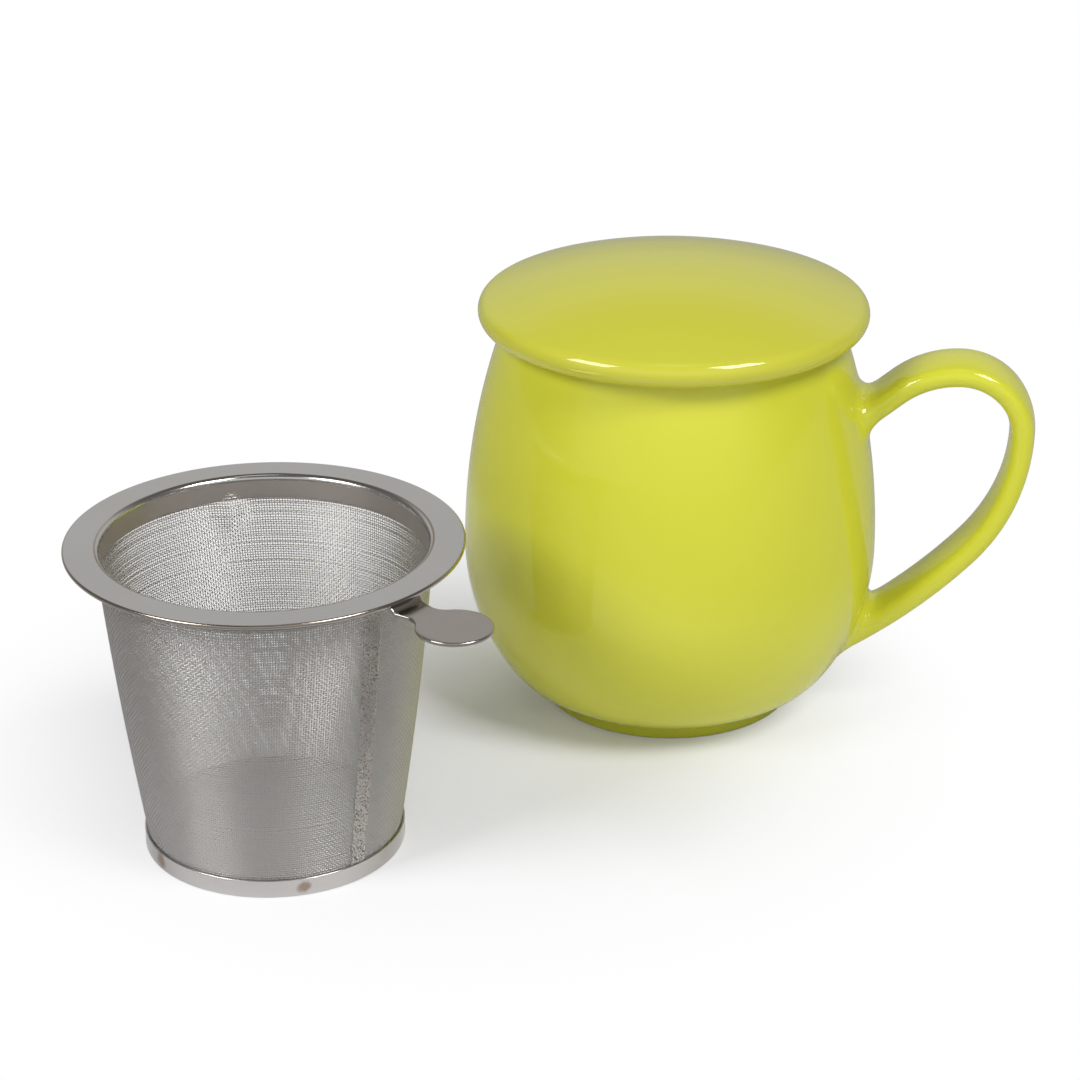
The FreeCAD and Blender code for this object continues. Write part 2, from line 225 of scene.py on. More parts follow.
def bearing(name, description, degrees):
    return bpy.props.FloatProperty(
        name=name, description=description, default=math.radians(degrees), subtype="ANGLE"
    )


class GlazeLook(bpy.types.PropertyGroup):
    body: colour("Glaze", "Colour of the lime glaze", (0.60, 0.605, 0.042))
    # The lid's glaze is the body's glaze painted darker and a little greyer: painted shade for the lid's top,
    # which faces the lamps
    lid: colour("Lid glaze", "Colour of the lid's glaze, a little greyer", (0.55, 0.54, 0.05))
    pooled: colour("Pooled glaze", "Colour where the glaze has run thicker", (0.40, 0.42, 0.02))
    clay: colour("Bare clay", "Colour of the unglazed edges underneath", (0.55, 0.53, 0.50))
    gloss: share("Roughness", "Roughness of the glaze", 0.07)
    ripple: length("Ripple", "Height of the faint waves in the glaze", 0.00004, high=0.001)
    root: length("Handle root", "Width over which the handle flows into the body", 0.0045, high=0.02)


class SteelLook(bpy.types.PropertyGroup):
    sheet: colour("Sheet steel", "Colour of the pressed rim", (0.62, 0.605, 0.58))
    tab: colour("Tab steel", "Colour of the tab, browned a little by its weld", (0.47, 0.43, 0.39))
    collar: colour("Collar steel", "Colour of the dull collar inside the rim", (0.64, 0.585, 0.545))
    bright: colour("Bright steel", "Colour of the polished band", (0.57, 0.55, 0.52))
    wire: colour("Wire", "Colour of the woven wire", (0.63, 0.61, 0.585))
    seam: colour("Seam wire", "Colour of the welded seam's wire", (0.86, 0.83, 0.80))
    # The weld tint also paints the dark reflection along the rim's inner round and the shade line along the
    # flange's rolled outer edge
    weld: colour("Weld tint", "Brown tint left by spot welds", (0.25, 0.17, 0.10))
    satin: share("Satin roughness", "Roughness of the pressed steel", 0.10)
    polish: share("Polished roughness", "Roughness of the band", 0.12)


class WeaveSizes(bpy.types.PropertyGroup):
    wire: length("Wire", "Radius of the woven wire", 0.000124, high=0.001)
    pitch: length("Pitch", "Distance from one wire to the next", 0.00053, low=0.0003, high=0.005)
    seam_wire: length("Seam wire", "Radius of the wire in the seam strip", 0.00010, high=0.001)
    seam_pitch: length("Seam pitch", "Distance between the seam's wires", 0.00053, low=0.0003, high=0.005)
    sway: length("Sway", "How far a wire of the wall strays from its even place", 0.00005, high=0.001)
    crush: length("Crush", "How far the seam's wires are pushed about by welding", 0.00011, high=0.001)
    twist: share("Twist", "Sideways lean of the wall's uprights for each unit of height", 0.05)
    belly: length("Belly", "How far the wall swells out at its middle", 0.00055, high=0.003)
    dent: length("Pucker", "Depth of the pucker in the back of the wall", 0.0018, high=0.003)


class StudioLook(bpy.types.PropertyGroup):
    camera: bpy.props.FloatVectorProperty(
        name="Camera",
        description="Where the camera stands",
        default=(0.0468, -0.6730, 0.3389),
        subtype="XYZ",
        unit="LENGTH",
    )
    tilt: bearing("Tilt", "Turn of the camera up from straight down", 65.89)
    turn: bearing("Turn", "Turn of the camera about the vertical", 6.55)
    lens: bpy.props.FloatProperty(name="Lens", description="Focal length", default=105.12, unit="CAMERA")
    floor: colour("Floor", "Colour of the floor", (0.86, 0.86, 0.90))
    lift: share("Floor lift", "Share of the floor near the object that shows plain white", 0.05)
    mirrored: share("Mirrored floor", "Strength of the floor further off as seen in glossy surfaces", 0.40)
    surround: share("Surround", "Strength of the pale wall behind the table", 0.60)
    front: share("Front", "Strength of the pale wall before the table", 0.80)
    flanks: share("Flanks", "Strength of the walls to the left and right", 0.18)
    ceiling: share("Ceiling", "Strength of the ceiling", 0.14)


# Node trees
class Value:
    """One output of a node. Sums, products and comparisons of it add Math nodes to its tree."""

    def __init__(self, nodes, socket):
        self.nodes = nodes
        self.socket = socket

    def output(self, name):
        return Value(self.nodes, self.socket.node.outputs[name])

    def math(self, operation, *operands):
        return self.nodes.add("ShaderNodeMath", {"operation": operation}, dict(enumerate(operands)))

    def __add__(self, other):
        return self.math("ADD", self, other)

    def __radd__(self, other):
        return self.math("ADD", other, self)

    def __sub__(self, other):
        return self.math("SUBTRACT", self, other)

    def __rsub__(self, other):
        return self.math("SUBTRACT", other, self)

    def __mul__(self, other):
        return self.math("MULTIPLY", self, other)

    def __rmul__(self, other):
        return self.math("MULTIPLY", other, self)

    def __truediv__(self, other):
        return self.math("DIVIDE", self, other)

    def __rtruediv__(self, other):
        return self.math("DIVIDE", other, self)

    def __mod__(self, other):
        return self.math("FLOORED_MODULO", self, other)

    def __rmod__(self, other):
        return self.math("FLOORED_MODULO", other, self)

    def __neg__(self):
        return self.math("MULTIPLY", self, -1.0)

    def at_most(self, other):
        return self.math("MINIMUM", self, other)

    def above(self, other):
        return self.math("GREATER_THAN", self, other)

    def floored(self):
        return self.math("FLOOR", self)

    def sine(self):
        return self.math("SINE", self)

    def cosine(self):
        return self.math("COSINE", self)

    def root(self):
        return self.math("SQRT", self)

    def bell(self):
        """1 at zero, falling to nothing on both sides."""
        return self.math("EXPONENT", -(self * self))


class Nodes:
    """Adds nodes to one tree."""

    def __init__(self, tree):
        self.tree = tree

    def add(self, kind, settings=None, sockets=None, output=0):
        """A node of this type with its settings made, its sockets filled and one output given back."""
        node = self.tree.nodes.new(kind)
        for name, value in (settings or {}).items():
            setattr(node, name, value)
        for key, value in (sockets or {}).items():
            if isinstance(value, Value):
                self.tree.links.new(value.socket, node.inputs[key])
            else:
                node.inputs[key].default_value = value
        return Value(self, node.outputs[output]) if len(node.outputs) else node

    def between(self, value, low, high):
        """0 below low, 1 above high and smooth in between."""
        return self.add(
            "ShaderNodeMapRange",
            {"interpolation_type": "SMOOTHSTEP"},
            {"Value": value, "From Min": low, "From Max": high},
        )

    def mix(self, factor, first, second):
        return self.add("ShaderNodeMix", {"data_type": "RGBA"}, {0: factor, 6: first, 7: second}, 2)

    def stray(self, number, seed):
        """Chance offset between -1 and 1, the same for the same number."""
        sockets = {2: -1.0, 3: 1.0, "ID": number, "Seed": seed}
        return self.add("FunctionNodeRandomValue", {"data_type": "FLOAT"}, sockets, 1)

    def noise(self, place, scale, detail=2.0):
        return self.add("ShaderNodeTexNoise", None, {"Vector": place, "Scale": scale, "Detail": detail})

    def bump(self, strength, depth, height):
        sockets = {"Strength": strength, "Distance": depth, "Height": height}
        return self.add("ShaderNodeBump", None, sockets)

    def distance(self, first, second):
        return self.add("ShaderNodeVectorMath", {"operation": "DISTANCE"}, {0: first, 1: second}, "Value")

    def mix_shader(self, factor, first, second):
        return self.add("ShaderNodeMixShader", None, {0: factor, 1: first, 2: second})

    def grey_glow(self, kind, strength):
        """A light shader of this kind, white at strength 1."""
        return self.add(kind, None, {"Color": opaque((strength,) * 3), "Strength": 1.0})


# How fine and how strong the marks in the finishes are
CLOUD_SCALE = 14.0
WAVE_SCALE = 22.0
FINE_SCALE = 60.0
RAGGED_SCALE = 420.0
RAGGED_EDGE = 0.5 * MM
CLOUD_SHARE = 0.10
POOL_SHARE = 0.5
CLAY_ROUGHNESS = 0.65
GLAZE_IOR = 1.5
RING_SCALE = 2600.0
SMEAR_SCALE = 45.0
STAIN_SCALE = 500.0
GROOVE_DEPTH = 0.01 * MM
WELD_SHARE = 0.75
# Painted dark reflection along the top of the rim's inner round
REFLECTION_LINE_RADIUS = COLLAR_RADIUS + 0.95 * MM
REFLECTION_LINE_WIDTH = 0.22 * MM
# Painted shade line along the flange's rolled outer edge
EDGE_SHADE_RADIUS = FLANGE_RADIUS - 0.12 * MM
EDGE_SHADE_WIDTH = 0.2 * MM
DULL_DROP = 1.0 * MM
DULL_ROUGHNESS = 0.25
TAB_DULLER = 0.04
WIRE_ROUGHNESS = 0.38
SEAM_ROUGHNESS = 0.28
SPECKLE_SCALE = 2400.0
PATCH_SCALE = 170.0


def opaque(rgb):
    return (*rgb, 1.0)


def darker(rgb, share):
    return opaque([share * part for part in rgb])


def new_material(name):
    made = bpy.data.materials.new(name)
    made.use_nodes = True
    made.node_tree.nodes.clear()
    return made, Nodes(made.node_tree)


def finish_material(nodes, sockets):
    shader = nodes.add("ShaderNodeBsdfPrincipled", None, sockets)
    nodes.add("ShaderNodeOutputMaterial", None, {"Surface": shader})


def object_place(nodes):
    place = nodes.add("ShaderNodeTexCoord", None, None, "Object")
    axes = nodes.add("ShaderNodeSeparateXYZ", None, {0: place})
    return place, axes


def infuser_radius(nodes, axes):
    """Distance from the infuser's axis."""
    across = axes - INFUSER_X
    along = axes.output("Y") - INFUSER_Y
    return (across * across + along * along).root()


def glaze_material(name, look, tint, seat, pool_low, pool_high):
    """Glossy lime glaze, a little darker where it has run thick, with bare clay at the seat."""
    made, nodes = new_material(name)
    place, axes = object_place(nodes)
    height = axes.output("Z")
    cloud = nodes.between(nodes.noise(place, CLOUD_SCALE, 3.0), 0.35, 0.75) * CLOUD_SHARE
    pool = 1.0 - nodes.between(height, pool_low, pool_high)
    glaze = nodes.mix((cloud + pool * POOL_SHARE).at_most(1.0), opaque(tint), opaque(look.pooled))
    ragged = nodes.noise(place, RAGGED_SCALE) * RAGGED_EDGE
    bare = 1.0 - nodes.between(height + ragged, seat + BARE_HEIGHT, seat + BARE_HEIGHT + RAGGED_SPREAD)
    surface = nodes.mix(bare, glaze, opaque(look.clay))
    fine = nodes.noise(place, FINE_SCALE, 3.0)
    waves = nodes.noise(place, WAVE_SCALE, 1.0)
    roughness = look.gloss + fine * 0.03 + bare * CLAY_ROUGHNESS
    bump = nodes.bump(1.0, look.ripple, waves + fine * 0.06)
    finish_material(
        nodes, {"Base Color": surface, "Roughness": roughness, "Normal": bump, "IOR": GLAZE_IOR}
    )
    return made


def turned_steel(name, tint, look, roughness, welds=(), collar=False):
    """Steel with the fine rings left by turning, and brown tints round its spot welds. The
    collar below the rim's inner round is duller, with a painted dark reflection along the round's top and a
    painted shade line along the flange's rolled outer edge."""
    made, nodes = new_material(name)
    place, axes = object_place(nodes)
    radius = infuser_radius(nodes, axes)
    turning = {"W": radius, "Scale": RING_SCALE, "Detail": 2.0}
    rings = nodes.add("ShaderNodeTexNoise", {"noise_dimensions": "1D"}, turning)
    smear = nodes.noise(place, SMEAR_SCALE, 3.0)
    shade = nodes.mix(smear * 0.5, opaque(tint), darker(tint, 0.8))
    for spot, reach in welds:
        ragged = nodes.distance(place, spot) + (nodes.noise(place, STAIN_SCALE, 3.0) - 0.5) * reach
        mark = (1.0 - nodes.between(ragged, reach * 0.35, reach)) * WELD_SHARE
        shade = nodes.mix(mark, shade, opaque(look.weld))
    dull = 0.0
    if collar:
        inner = 1.0 - nodes.between(radius, COLLAR_RADIUS + 0.1 * MM, COLLAR_RADIUS + 0.3 * MM)
        dull = inner * nodes.between(RIM_TOP - axes.output("Z"), DULL_DROP, 1.5 * DULL_DROP)
        smeared = nodes.mix(smear, opaque(look.collar), darker(look.collar, 0.7))
        shade = nodes.mix(dull, shade, smeared)
        # Painted dark reflection along the top of the inner round, broken up by the smear, in the weld tint
        line = ((radius - REFLECTION_LINE_RADIUS) / REFLECTION_LINE_WIDTH).bell() * nodes.between(smear, 0.2, 0.6)
        # Painted shade line where the flange's top turns over its rolled outer edge, in the weld tint
        edge = ((radius - EDGE_SHADE_RADIUS) / EDGE_SHADE_WIDTH).bell() * 0.6
        shade = nodes.mix((line + edge).at_most(0.85), shade, opaque(look.weld))
    bump = nodes.bump(0.6, GROOVE_DEPTH, rings + smear * 0.5)
    finish_material(
        nodes,
        {
            "Base Color": shade,
            "Metallic": 1.0,
            "Roughness": roughness + rings * 0.08 + smear * 0.06 + dull * DULL_ROUGHNESS,
            "Normal": bump,
        },
    )
    return made


def wire_material(name, tint):
    """Plain drawn wire, one tone throughout because its weave already breaks up the light."""
    made, nodes = new_material(name)
    finish_material(nodes, {"Base Color": opaque(tint), "Metallic": 1.0, "Roughness": WIRE_ROUGHNESS})
    return made


def seam_material(name, look):
    """Wire speckled brown and bright by the row of spot welds."""
    made, nodes = new_material(name)
    place, _ = object_place(nodes)
    speckle = nodes.between(nodes.noise(place, SPECKLE_SCALE, 1.0), 0.32, 0.52)
    patch = nodes.between(nodes.noise(place, PATCH_SCALE), 0.40, 0.70)
    tint = nodes.mix(speckle, opaque(look.weld), opaque(look.seam))
    tint = nodes.mix(patch * 0.5, tint, opaque(look.bright))
    roughness = SEAM_ROUGHNESS + speckle * 0.15
    finish_material(nodes, {"Base Color": tint, "Metallic": 1.0, "Roughness": roughness})
    return made


# Meshes
def turned_profile(start, steps, stride):
    """Points of a profile as radius and height. A step is a corner, or a corner with the radius
    of the arc that ends there and its turn, 1 to the left and -1 to the right."""
    points = [complex(*start)]
    for across, up, *arc in steps:
        first, last = points[-1], complex(across, up)
        chord = last - first
        if not arc:
            count = max(1, math.ceil(abs(chord) / stride))
            points += [first + chord * i / count for i in range(1, count + 1)]
            continue
        radius, turn = arc
        half = math.asin(min(1.0, abs(chord) / 2 / radius))
        centre = (first + last) / 2 + 1j * turn * chord / abs(chord) * radius * math.cos(half)
        count = max(math.ceil(2 * half * radius / stride), math.ceil(half / math.radians(5)))
        spin = [np.exp(2j * turn * half * i / count) for i in range(1, count + 1)]
        points += [centre + (first - centre) * s for s in spin]
    return np.array(points)


def turned(profile, segments, centre=(0.0, 0.0), closed=False):
    """Vertices and faces of a profile turned about an upright axis."""
    turn = np.exp(2j * np.pi * np.arange(segments) / segments)
    flat = np.outer(profile.real, turn)
    heights = np.repeat(profile.imag, segments)
    vertices = np.column_stack([flat.real.ravel() + centre[0], flat.imag.ravel() + centre[1], heights])
    rows = len(profile) if closed else len(profile) - 1
    low = np.repeat(np.arange(rows), segments) * segments
    high = np.repeat((np.arange(rows) + 1) % len(profile), segments) * segments
    here = np.tile(np.arange(segments), rows)
    after = (here + 1) % segments
    faces = np.column_stack([low + here, low + after, high + after, high + here])
    return vertices, faces


def new_mesh(name, vertices, faces, material=None):
    """Mesh object with doubles merged, smooth faces and sharp corners."""
    mesh = bpy.data.meshes.new(name)
    mesh.from_pydata(vertices.tolist(), [], faces.tolist() if hasattr(faces, "tolist") else faces)
    edit = bmesh.new()
    edit.from_mesh(mesh)
    bmesh.ops.remove_doubles(edit, verts=edit.verts, dist=DOUBLES)
    edit.to_mesh(mesh)
    edit.free()
    mesh.shade_smooth()
    mesh.set_sharp_from_angle(angle=SHARP)
    if material:
        mesh.materials.append(material)
    made = bpy.data.objects.new(name, mesh)
    bpy.context.scene.collection.objects.link(made)
    return made


def place_piece(piece, body, slot, *nodes):
    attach(piece, body)
    if nodes:
        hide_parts(*nodes)


class MugForm:
    """The turned outside of the mug: three tangent arcs from the foot to the lip."""

    def __init__(self):
        depth = BELLY_HEIGHT - BASE_JOIN
        inward = math.sqrt(BELLY_DROP**2 - depth**2)
        self.join_radius = BELLY_RADIUS - BELLY_DROP + inward
        self.out, self.down = inward / BELLY_DROP, depth / BELLY_DROP
        across, drop = self.join_radius - FOOT_RADIUS, BASE_JOIN - FOOT_HEIGHT
        self.base_round = (across**2 + drop**2) / (2 * (across * self.out - drop * self.down))
        join = complex(self.join_radius, BASE_JOIN)
        self.base_centre = join - self.base_round * complex(self.out, -self.down)
        climb = MUG_HEIGHT - LIP_ROUND - BELLY_HEIGHT
        lean = BELLY_RADIUS - LIP_RADIUS
        self.shoulder = (climb**2 + lean**2) / (2 * lean)
        lean = BELLY_RADIUS - WALL - MOUTH_RADIUS
        self.inner_shoulder = (climb**2 + lean**2) / (2 * lean)

    def outside(self, stride):
        steps = [
            (FOOT_RADIUS - FOOT_WALL - FOOT_ROUND, RECESS_DEPTH),
            (FOOT_RADIUS - FOOT_WALL, RECESS_DEPTH - FOOT_ROUND, FOOT_ROUND, -1),
            (FOOT_RADIUS - FOOT_WALL, FOOT_ROUND),
            (FOOT_RADIUS - FOOT_WALL + FOOT_ROUND, 0.0, FOOT_ROUND, 1),
            (FOOT_RADIUS - FOOT_EDGE, 0.0),
            (FOOT_RADIUS, FOOT_EDGE, FOOT_EDGE, 1),
            (FOOT_RADIUS, FOOT_HEIGHT - FOOT_ROUND / 2),
            (FOOT_RADIUS + FOOT_ROUND / 2, FOOT_HEIGHT + FOOT_ROUND / 4),
            (self.join_radius, BASE_JOIN, self.base_round, 1),
            (BELLY_RADIUS, BELLY_HEIGHT, BELLY_DROP, 1),
            (LIP_RADIUS, MUG_HEIGHT - LIP_ROUND, self.shoulder, 1),
            (LIP_RADIUS - LIP_ROUND, MUG_HEIGHT, LIP_ROUND, 1),
            (MOUTH_RADIUS + LIP_ROUND, MUG_HEIGHT),
        ]
        return turned_profile((0.0, RECESS_DEPTH), steps, stride)

    def inside(self, stride):
        """Down the inside from the lip to the middle of the floor."""
        inner_round = self.base_round - WALL
        drop = self.base_centre.imag - INNER_FLOOR
        floor_edge = self.base_centre.real + math.sqrt(inner_round**2 - drop**2)
        join = complex(self.join_radius, BASE_JOIN) - WALL * complex(self.out, -self.down)
        steps = [
            (MOUTH_RADIUS, MUG_HEIGHT - LIP_ROUND, LIP_ROUND, 1),
            (BELLY_RADIUS - WALL, BELLY_HEIGHT, self.inner_shoulder, -1),
            (join.real, join.imag, BELLY_DROP - WALL, -1),
            (floor_edge, INNER_FLOOR, inner_round, -1),
            (0.0, INNER_FLOOR),
        ]
        return turned_profile((MOUTH_RADIUS + LIP_ROUND, MUG_HEIGHT), steps, stride)

    def measure(self, points):
        """Distance of points from the outside, and the way straight out of it."""
        radius = np.hypot(points[:, 0], points[:, 1])
        spot = radius + 1j * points[:, 2]
        shoulder = complex(BELLY_RADIUS - self.shoulder, BELLY_HEIGHT)
        belly = complex(BELLY_RADIUS - BELLY_DROP, BELLY_HEIGHT)
        from_belly = spot - belly
        in_base = from_belly.imag * self.out + from_belly.real * self.down < 0
        in_shoulder = points[:, 2] > BELLY_HEIGHT
        centre = np.where(in_shoulder, shoulder, np.where(in_base, self.base_centre, belly))
        size = np.where(in_shoulder, self.shoulder, np.where(in_base, self.base_round, BELLY_DROP))
        away = spot - centre
        reach = np.abs(away)
        flat = away.real / reach / np.maximum(radius, 1e-9)
        outward = np.column_stack([points[:, 0] * flat, points[:, 1] * flat, away.imag / reach])
        return reach - size, outward


def bend(first, heading, last, stride):
    """Points along the arc that leaves first along heading and ends at last, and its end heading."""
    chord = last - first
    end = (chord / abs(chord)) ** 2 / heading
    turn = np.angle(end / heading)
    radius = abs(chord) / (2 * math.sin(turn / 2))
    count = max(2, math.ceil(abs(turn * radius) / stride))
    step = turn * np.arange(1, count + 1) / count
    return first - 1j * heading * radius * (np.exp(1j * step) - 1), heading * np.exp(1j * step)


def straight(first, last, stride):
    count = max(1, math.ceil(abs(last - first) / stride))
    step = np.arange(1, count + 1) / count
    heading = (last - first) / abs(last - first)
    return first + (last - first) * step, np.full(count, heading)


class Strap:
    """The handle's flattened strap along its line, in the mug's upright middle plane."""

    def __init__(self, stride):
        apex = complex(HANDLE_REACH - STRAP_THICKNESS / 2 - CORNER, HANDLE_TOP - STRAP_THICKNESS / 2)
        side = apex + complex(CORNER, -CORNER)
        rise = complex(math.cos(RISE), math.sin(RISE))
        crown_start = apex + CROWN * complex(-math.sin(RISE), math.cos(RISE) - 1)
        upper = crown_start - rise * ((crown_start.real - BELLY_RADIUS + 3 * ROOT_INSET) / rise.real)
        inward = -complex(math.cos(FALL), math.sin(FALL))
        line = [(np.array([upper]), np.array([rise])), straight(upper, crown_start, stride)]
        line.append(bend(crown_start, rise, apex, stride))
        line.append(bend(apex, 1 + 0j, side, stride))
        chord, slack = LOWER_ROOT - side, 2 * (1 - (-1j * inward.conjugate()).real)
        pull = (chord * (-1j + inward).conjugate()).real
        reach = (math.sqrt(pull**2 + slack * abs(chord) ** 2) - pull) / slack
        join = (side - 1j * reach + LOWER_ROOT - inward * reach) / 2
        line.append(bend(side, -1j, join, stride))
        line.append(bend(join, line[-1][1][-1], LOWER_ROOT, stride))
        line.append(straight(LOWER_ROOT, LOWER_ROOT + inward * 2 * ROOT_INSET, stride))
        self.points = np.concatenate([part[0] for part in line])
        self.headings = np.concatenate([part[1] for part in line])
        self.reach = STRAP_WIDTH / 2 - STRAP_EDGE
        half = STRAP_THICKNESS / 2
        self.crown = (self.reach**2 + half**2 - STRAP_EDGE**2) / (2 * (half - STRAP_EDGE))
        self.lean = math.atan2(self.reach, self.crown - half)

    def section(self, edge_steps, face_steps):
        """Points of the flattened oval and the ways straight out of it, as side and outward parts."""
        points, normals = [], []
        corner = math.pi / 2 - self.lean
        for side, sign in ((0.0, 1.0), (math.pi, -1.0)):
            for angle in np.linspace(side - corner, side + corner, edge_steps, endpoint=False):
                points.append(sign * self.reach + STRAP_EDGE * np.exp(1j * angle))
                normals.append(np.exp(1j * angle))
            up = side + math.pi / 2
            for angle in np.linspace(up - self.lean, up + self.lean, face_steps, endpoint=False):
                sunk = -1j * sign * (self.crown - STRAP_THICKNESS / 2)
                points.append(sunk + self.crown * np.exp(1j * angle))
                normals.append(np.exp(1j * angle))
        return np.array(points), np.array(normals)

    def distance(self, points):
        """Distance of points from the strap's surface, less than zero inside it."""
        spot = (points[:, 0] + 1j * points[:, 2])[:, None]
        start, run = self.points[None, :-1], np.diff(self.points)[None, :]
        along = np.clip(((spot - start) * run.conjugate()).real / np.abs(run) ** 2, 0, 1)
        away = spot - (start + along * run)
        nearest = np.argmin(np.abs(away), axis=1)
        pick = np.arange(len(points))
        height = np.abs((away[pick, nearest] * self.headings[nearest].conjugate()).imag)
        side = np.abs(points[:, 1])
        on_edge = (side - self.reach) * math.cos(self.lean) > height * math.sin(self.lean)
        edge = np.hypot(side - self.reach, height) - STRAP_EDGE
        face = np.hypot(side, height + self.crown - STRAP_THICKNESS / 2) - self.crown
        return np.where(on_edge, edge, face)


def settle(points, ways, form, strap, width, own):
    """Moves points outwards to where body and handle flow together over this width, which is
    narrower under the lower root. Past the line where the two meet, each surface sinks a little
    under the other."""

    rise = np.clip((points[:, 2] - LOW_ROOT) / (HIGH_ROOT - LOW_ROOT), 0, 1)
    width = width * (LOW_SHARE + (1 - LOW_SHARE) * rise)

    def parts(moved):
        return form.measure(moved)[0], strap.distance(moved)

    def depth(moved):
        body, handle = parts(moved)
        meet = np.clip(1 - np.abs(body - handle) / width, 0, None)
        return np.minimum(body, handle) - meet**2 * width / 4

    low, high = np.zeros(len(points)), FLOW_LIMIT * width
    for _ in range(HALVINGS):
        middle = (low + high) / 2
        inside = depth(points + ways * middle[:, None]) < 0
        low, high = np.where(inside, middle, low), np.where(inside, high, middle)
    body, handle = parts(points + ways * low[:, None])
    past = np.clip((body - handle if own == "body" else handle - body) / width, 0, 1)
    return points + ways * (low * (1 - SINK_SHARE * past))[:, None]


def mug_shape(name, material, root):
    """The mug's body, swelling a little where the handle joins it."""
    form, strap = MugForm(), Strap(FLOW_STRIDE)
    outside, inside = form.outside(BODY_STRIDE), form.inside(INSIDE_STRIDE)
    vertices, faces = turned(np.concatenate([outside, inside[1:]]), ROUND_SEGMENTS)
    distance, ways = form.measure(vertices)
    near_handle = (vertices[:, 0] > 0) & (np.abs(vertices[:, 1]) < STRAP_WIDTH * ROOT_SPREAD)
    skin = (np.abs(distance) < 1e-6) & near_handle
    skin[skin] = strap.distance(vertices[skin]) < root
    vertices[skin] = settle(vertices[skin], ways[skin], form, strap, root, "body")
    return new_mesh(name, vertices, faces, material)


def solid_copy(made):
    """Plain mesh of an object with its modifiers applied, in place of the live one."""
    evaluated = made.evaluated_get(bpy.context.evaluated_depsgraph_get())
    mesh = bpy.data.meshes.new_from_object(evaluated)
    made.modifiers.clear()
    made.data = mesh
    mesh.name = made.name
    return made


def handle_shape(name, material, root):
    """The strap, spreading at both roots and cut off inside the mug's wall."""
    form, strap = MugForm(), Strap(STRAP_STRIDE)
    section, ways = strap.section(EDGE_STEPS, FACE_STEPS)
    outward = 1j * strap.headings
    up = np.outer(outward, section.imag) + strap.points[:, None]
    turn = np.outer(outward, ways.imag)
    side = np.tile(section.real, (len(outward), 1))
    lean = np.tile(ways.real, (len(outward), 1))
    vertices = np.stack([up.real, -side, up.imag], axis=2).reshape(-1, 3)
    normals = np.stack([turn.real, -lean, turn.imag], axis=2).reshape(-1, 3)
    near = form.measure(vertices)[0] < root
    vertices[near] = settle(vertices[near], normals[near], form, strap, root, "handle")
    around, rows = len(section), len(outward)
    faces = []
    for row in range(rows - 1):
        for i in range(around):
            j = (i + 1) % around
            low, high = row * around, (row + 1) * around
            faces.append((low + i, high + i, high + j, low + j))
    faces.append(tuple(range(around)))
    faces.append(tuple((rows - 1) * around + i for i in reversed(range(around))))
    made = new_mesh(name, vertices, faces, material)
    outside = form.outside(CUTTER_STRIDE)
    flat = np.column_stack([outside.real, np.zeros(len(outside)), outside.imag])
    ways = form.measure(flat)[1]
    on_skin = (outside.imag > FOOT_HEIGHT + MM) & (outside.imag < MUG_HEIGHT - 2 * LIP_ROUND)
    on_skin &= outside.real > LIP_RADIUS - WALL
    core = (outside - CUT_DEPTH * (ways[:, 0] + 1j * ways[:, 2]))[on_skin]
    core = np.concatenate([[1j * core[0].imag], core, [1j * core[-1].imag]])
    cutter = new_mesh("handle_cutter", *turned(core, ROUND_SEGMENTS // 2))
    cut = made.modifiers.new("cut", "BOOLEAN")
    cut.operation, cut.solver, cut.object = "DIFFERENCE", "EXACT", cutter
    solid_copy(made)
    bpy.data.objects.remove(cutter)
    made.data.set_sharp_from_angle(angle=HANDLE_SHARP)
    return made


def lid_shape(name, material):
    """Low dome with a round bead, hollow beneath inside a seating ring."""
    seat = MUG_HEIGHT + SEAT_GAP
    bead_radius, bead_height = LID_RADIUS - BEAD, seat + BEAD
    dome_rise = LID_TOP - seat - 2 * BEAD
    below = (bead_radius**2 - dome_rise**2) / (2 * dome_rise)
    centre = bead_height - below
    dome = LID_TOP - centre
    lift = BEAD / (dome - BEAD)
    under = dome - LID_WALL
    ring_inside = RING_OUTSIDE - RING_WALL
    hollow = RING_WALL / 2
    wall_top = centre + math.sqrt(under**2 - (ring_inside - hollow) ** 2)
    steps = [
        (ring_inside - hollow, wall_top, under, -1),
        (ring_inside, wall_top - hollow, hollow, -1),
        (ring_inside, LID_BOTTOM + RING_ROUND),
        (ring_inside + RING_ROUND, LID_BOTTOM, RING_ROUND, 1),
        (RING_OUTSIDE - RING_ROUND, LID_BOTTOM),
        (RING_OUTSIDE, LID_BOTTOM + RING_ROUND, RING_ROUND, 1),
        (RING_OUTSIDE, seat - RING_ROUND),
        (RING_OUTSIDE + RING_ROUND, seat, RING_ROUND, -1),
        (bead_radius, seat),
        (LID_RADIUS, bead_height, BEAD, 1),
        (bead_radius + bead_radius * lift, bead_height + below * lift, BEAD, 1),
        (0.0, LID_TOP, dome, 1),
    ]
    profile = turned_profile((0.0, LID_TOP - LID_WALL), steps, LID_STRIDE)
    return new_mesh(name, *turned(profile, ROUND_SEGMENTS), material)


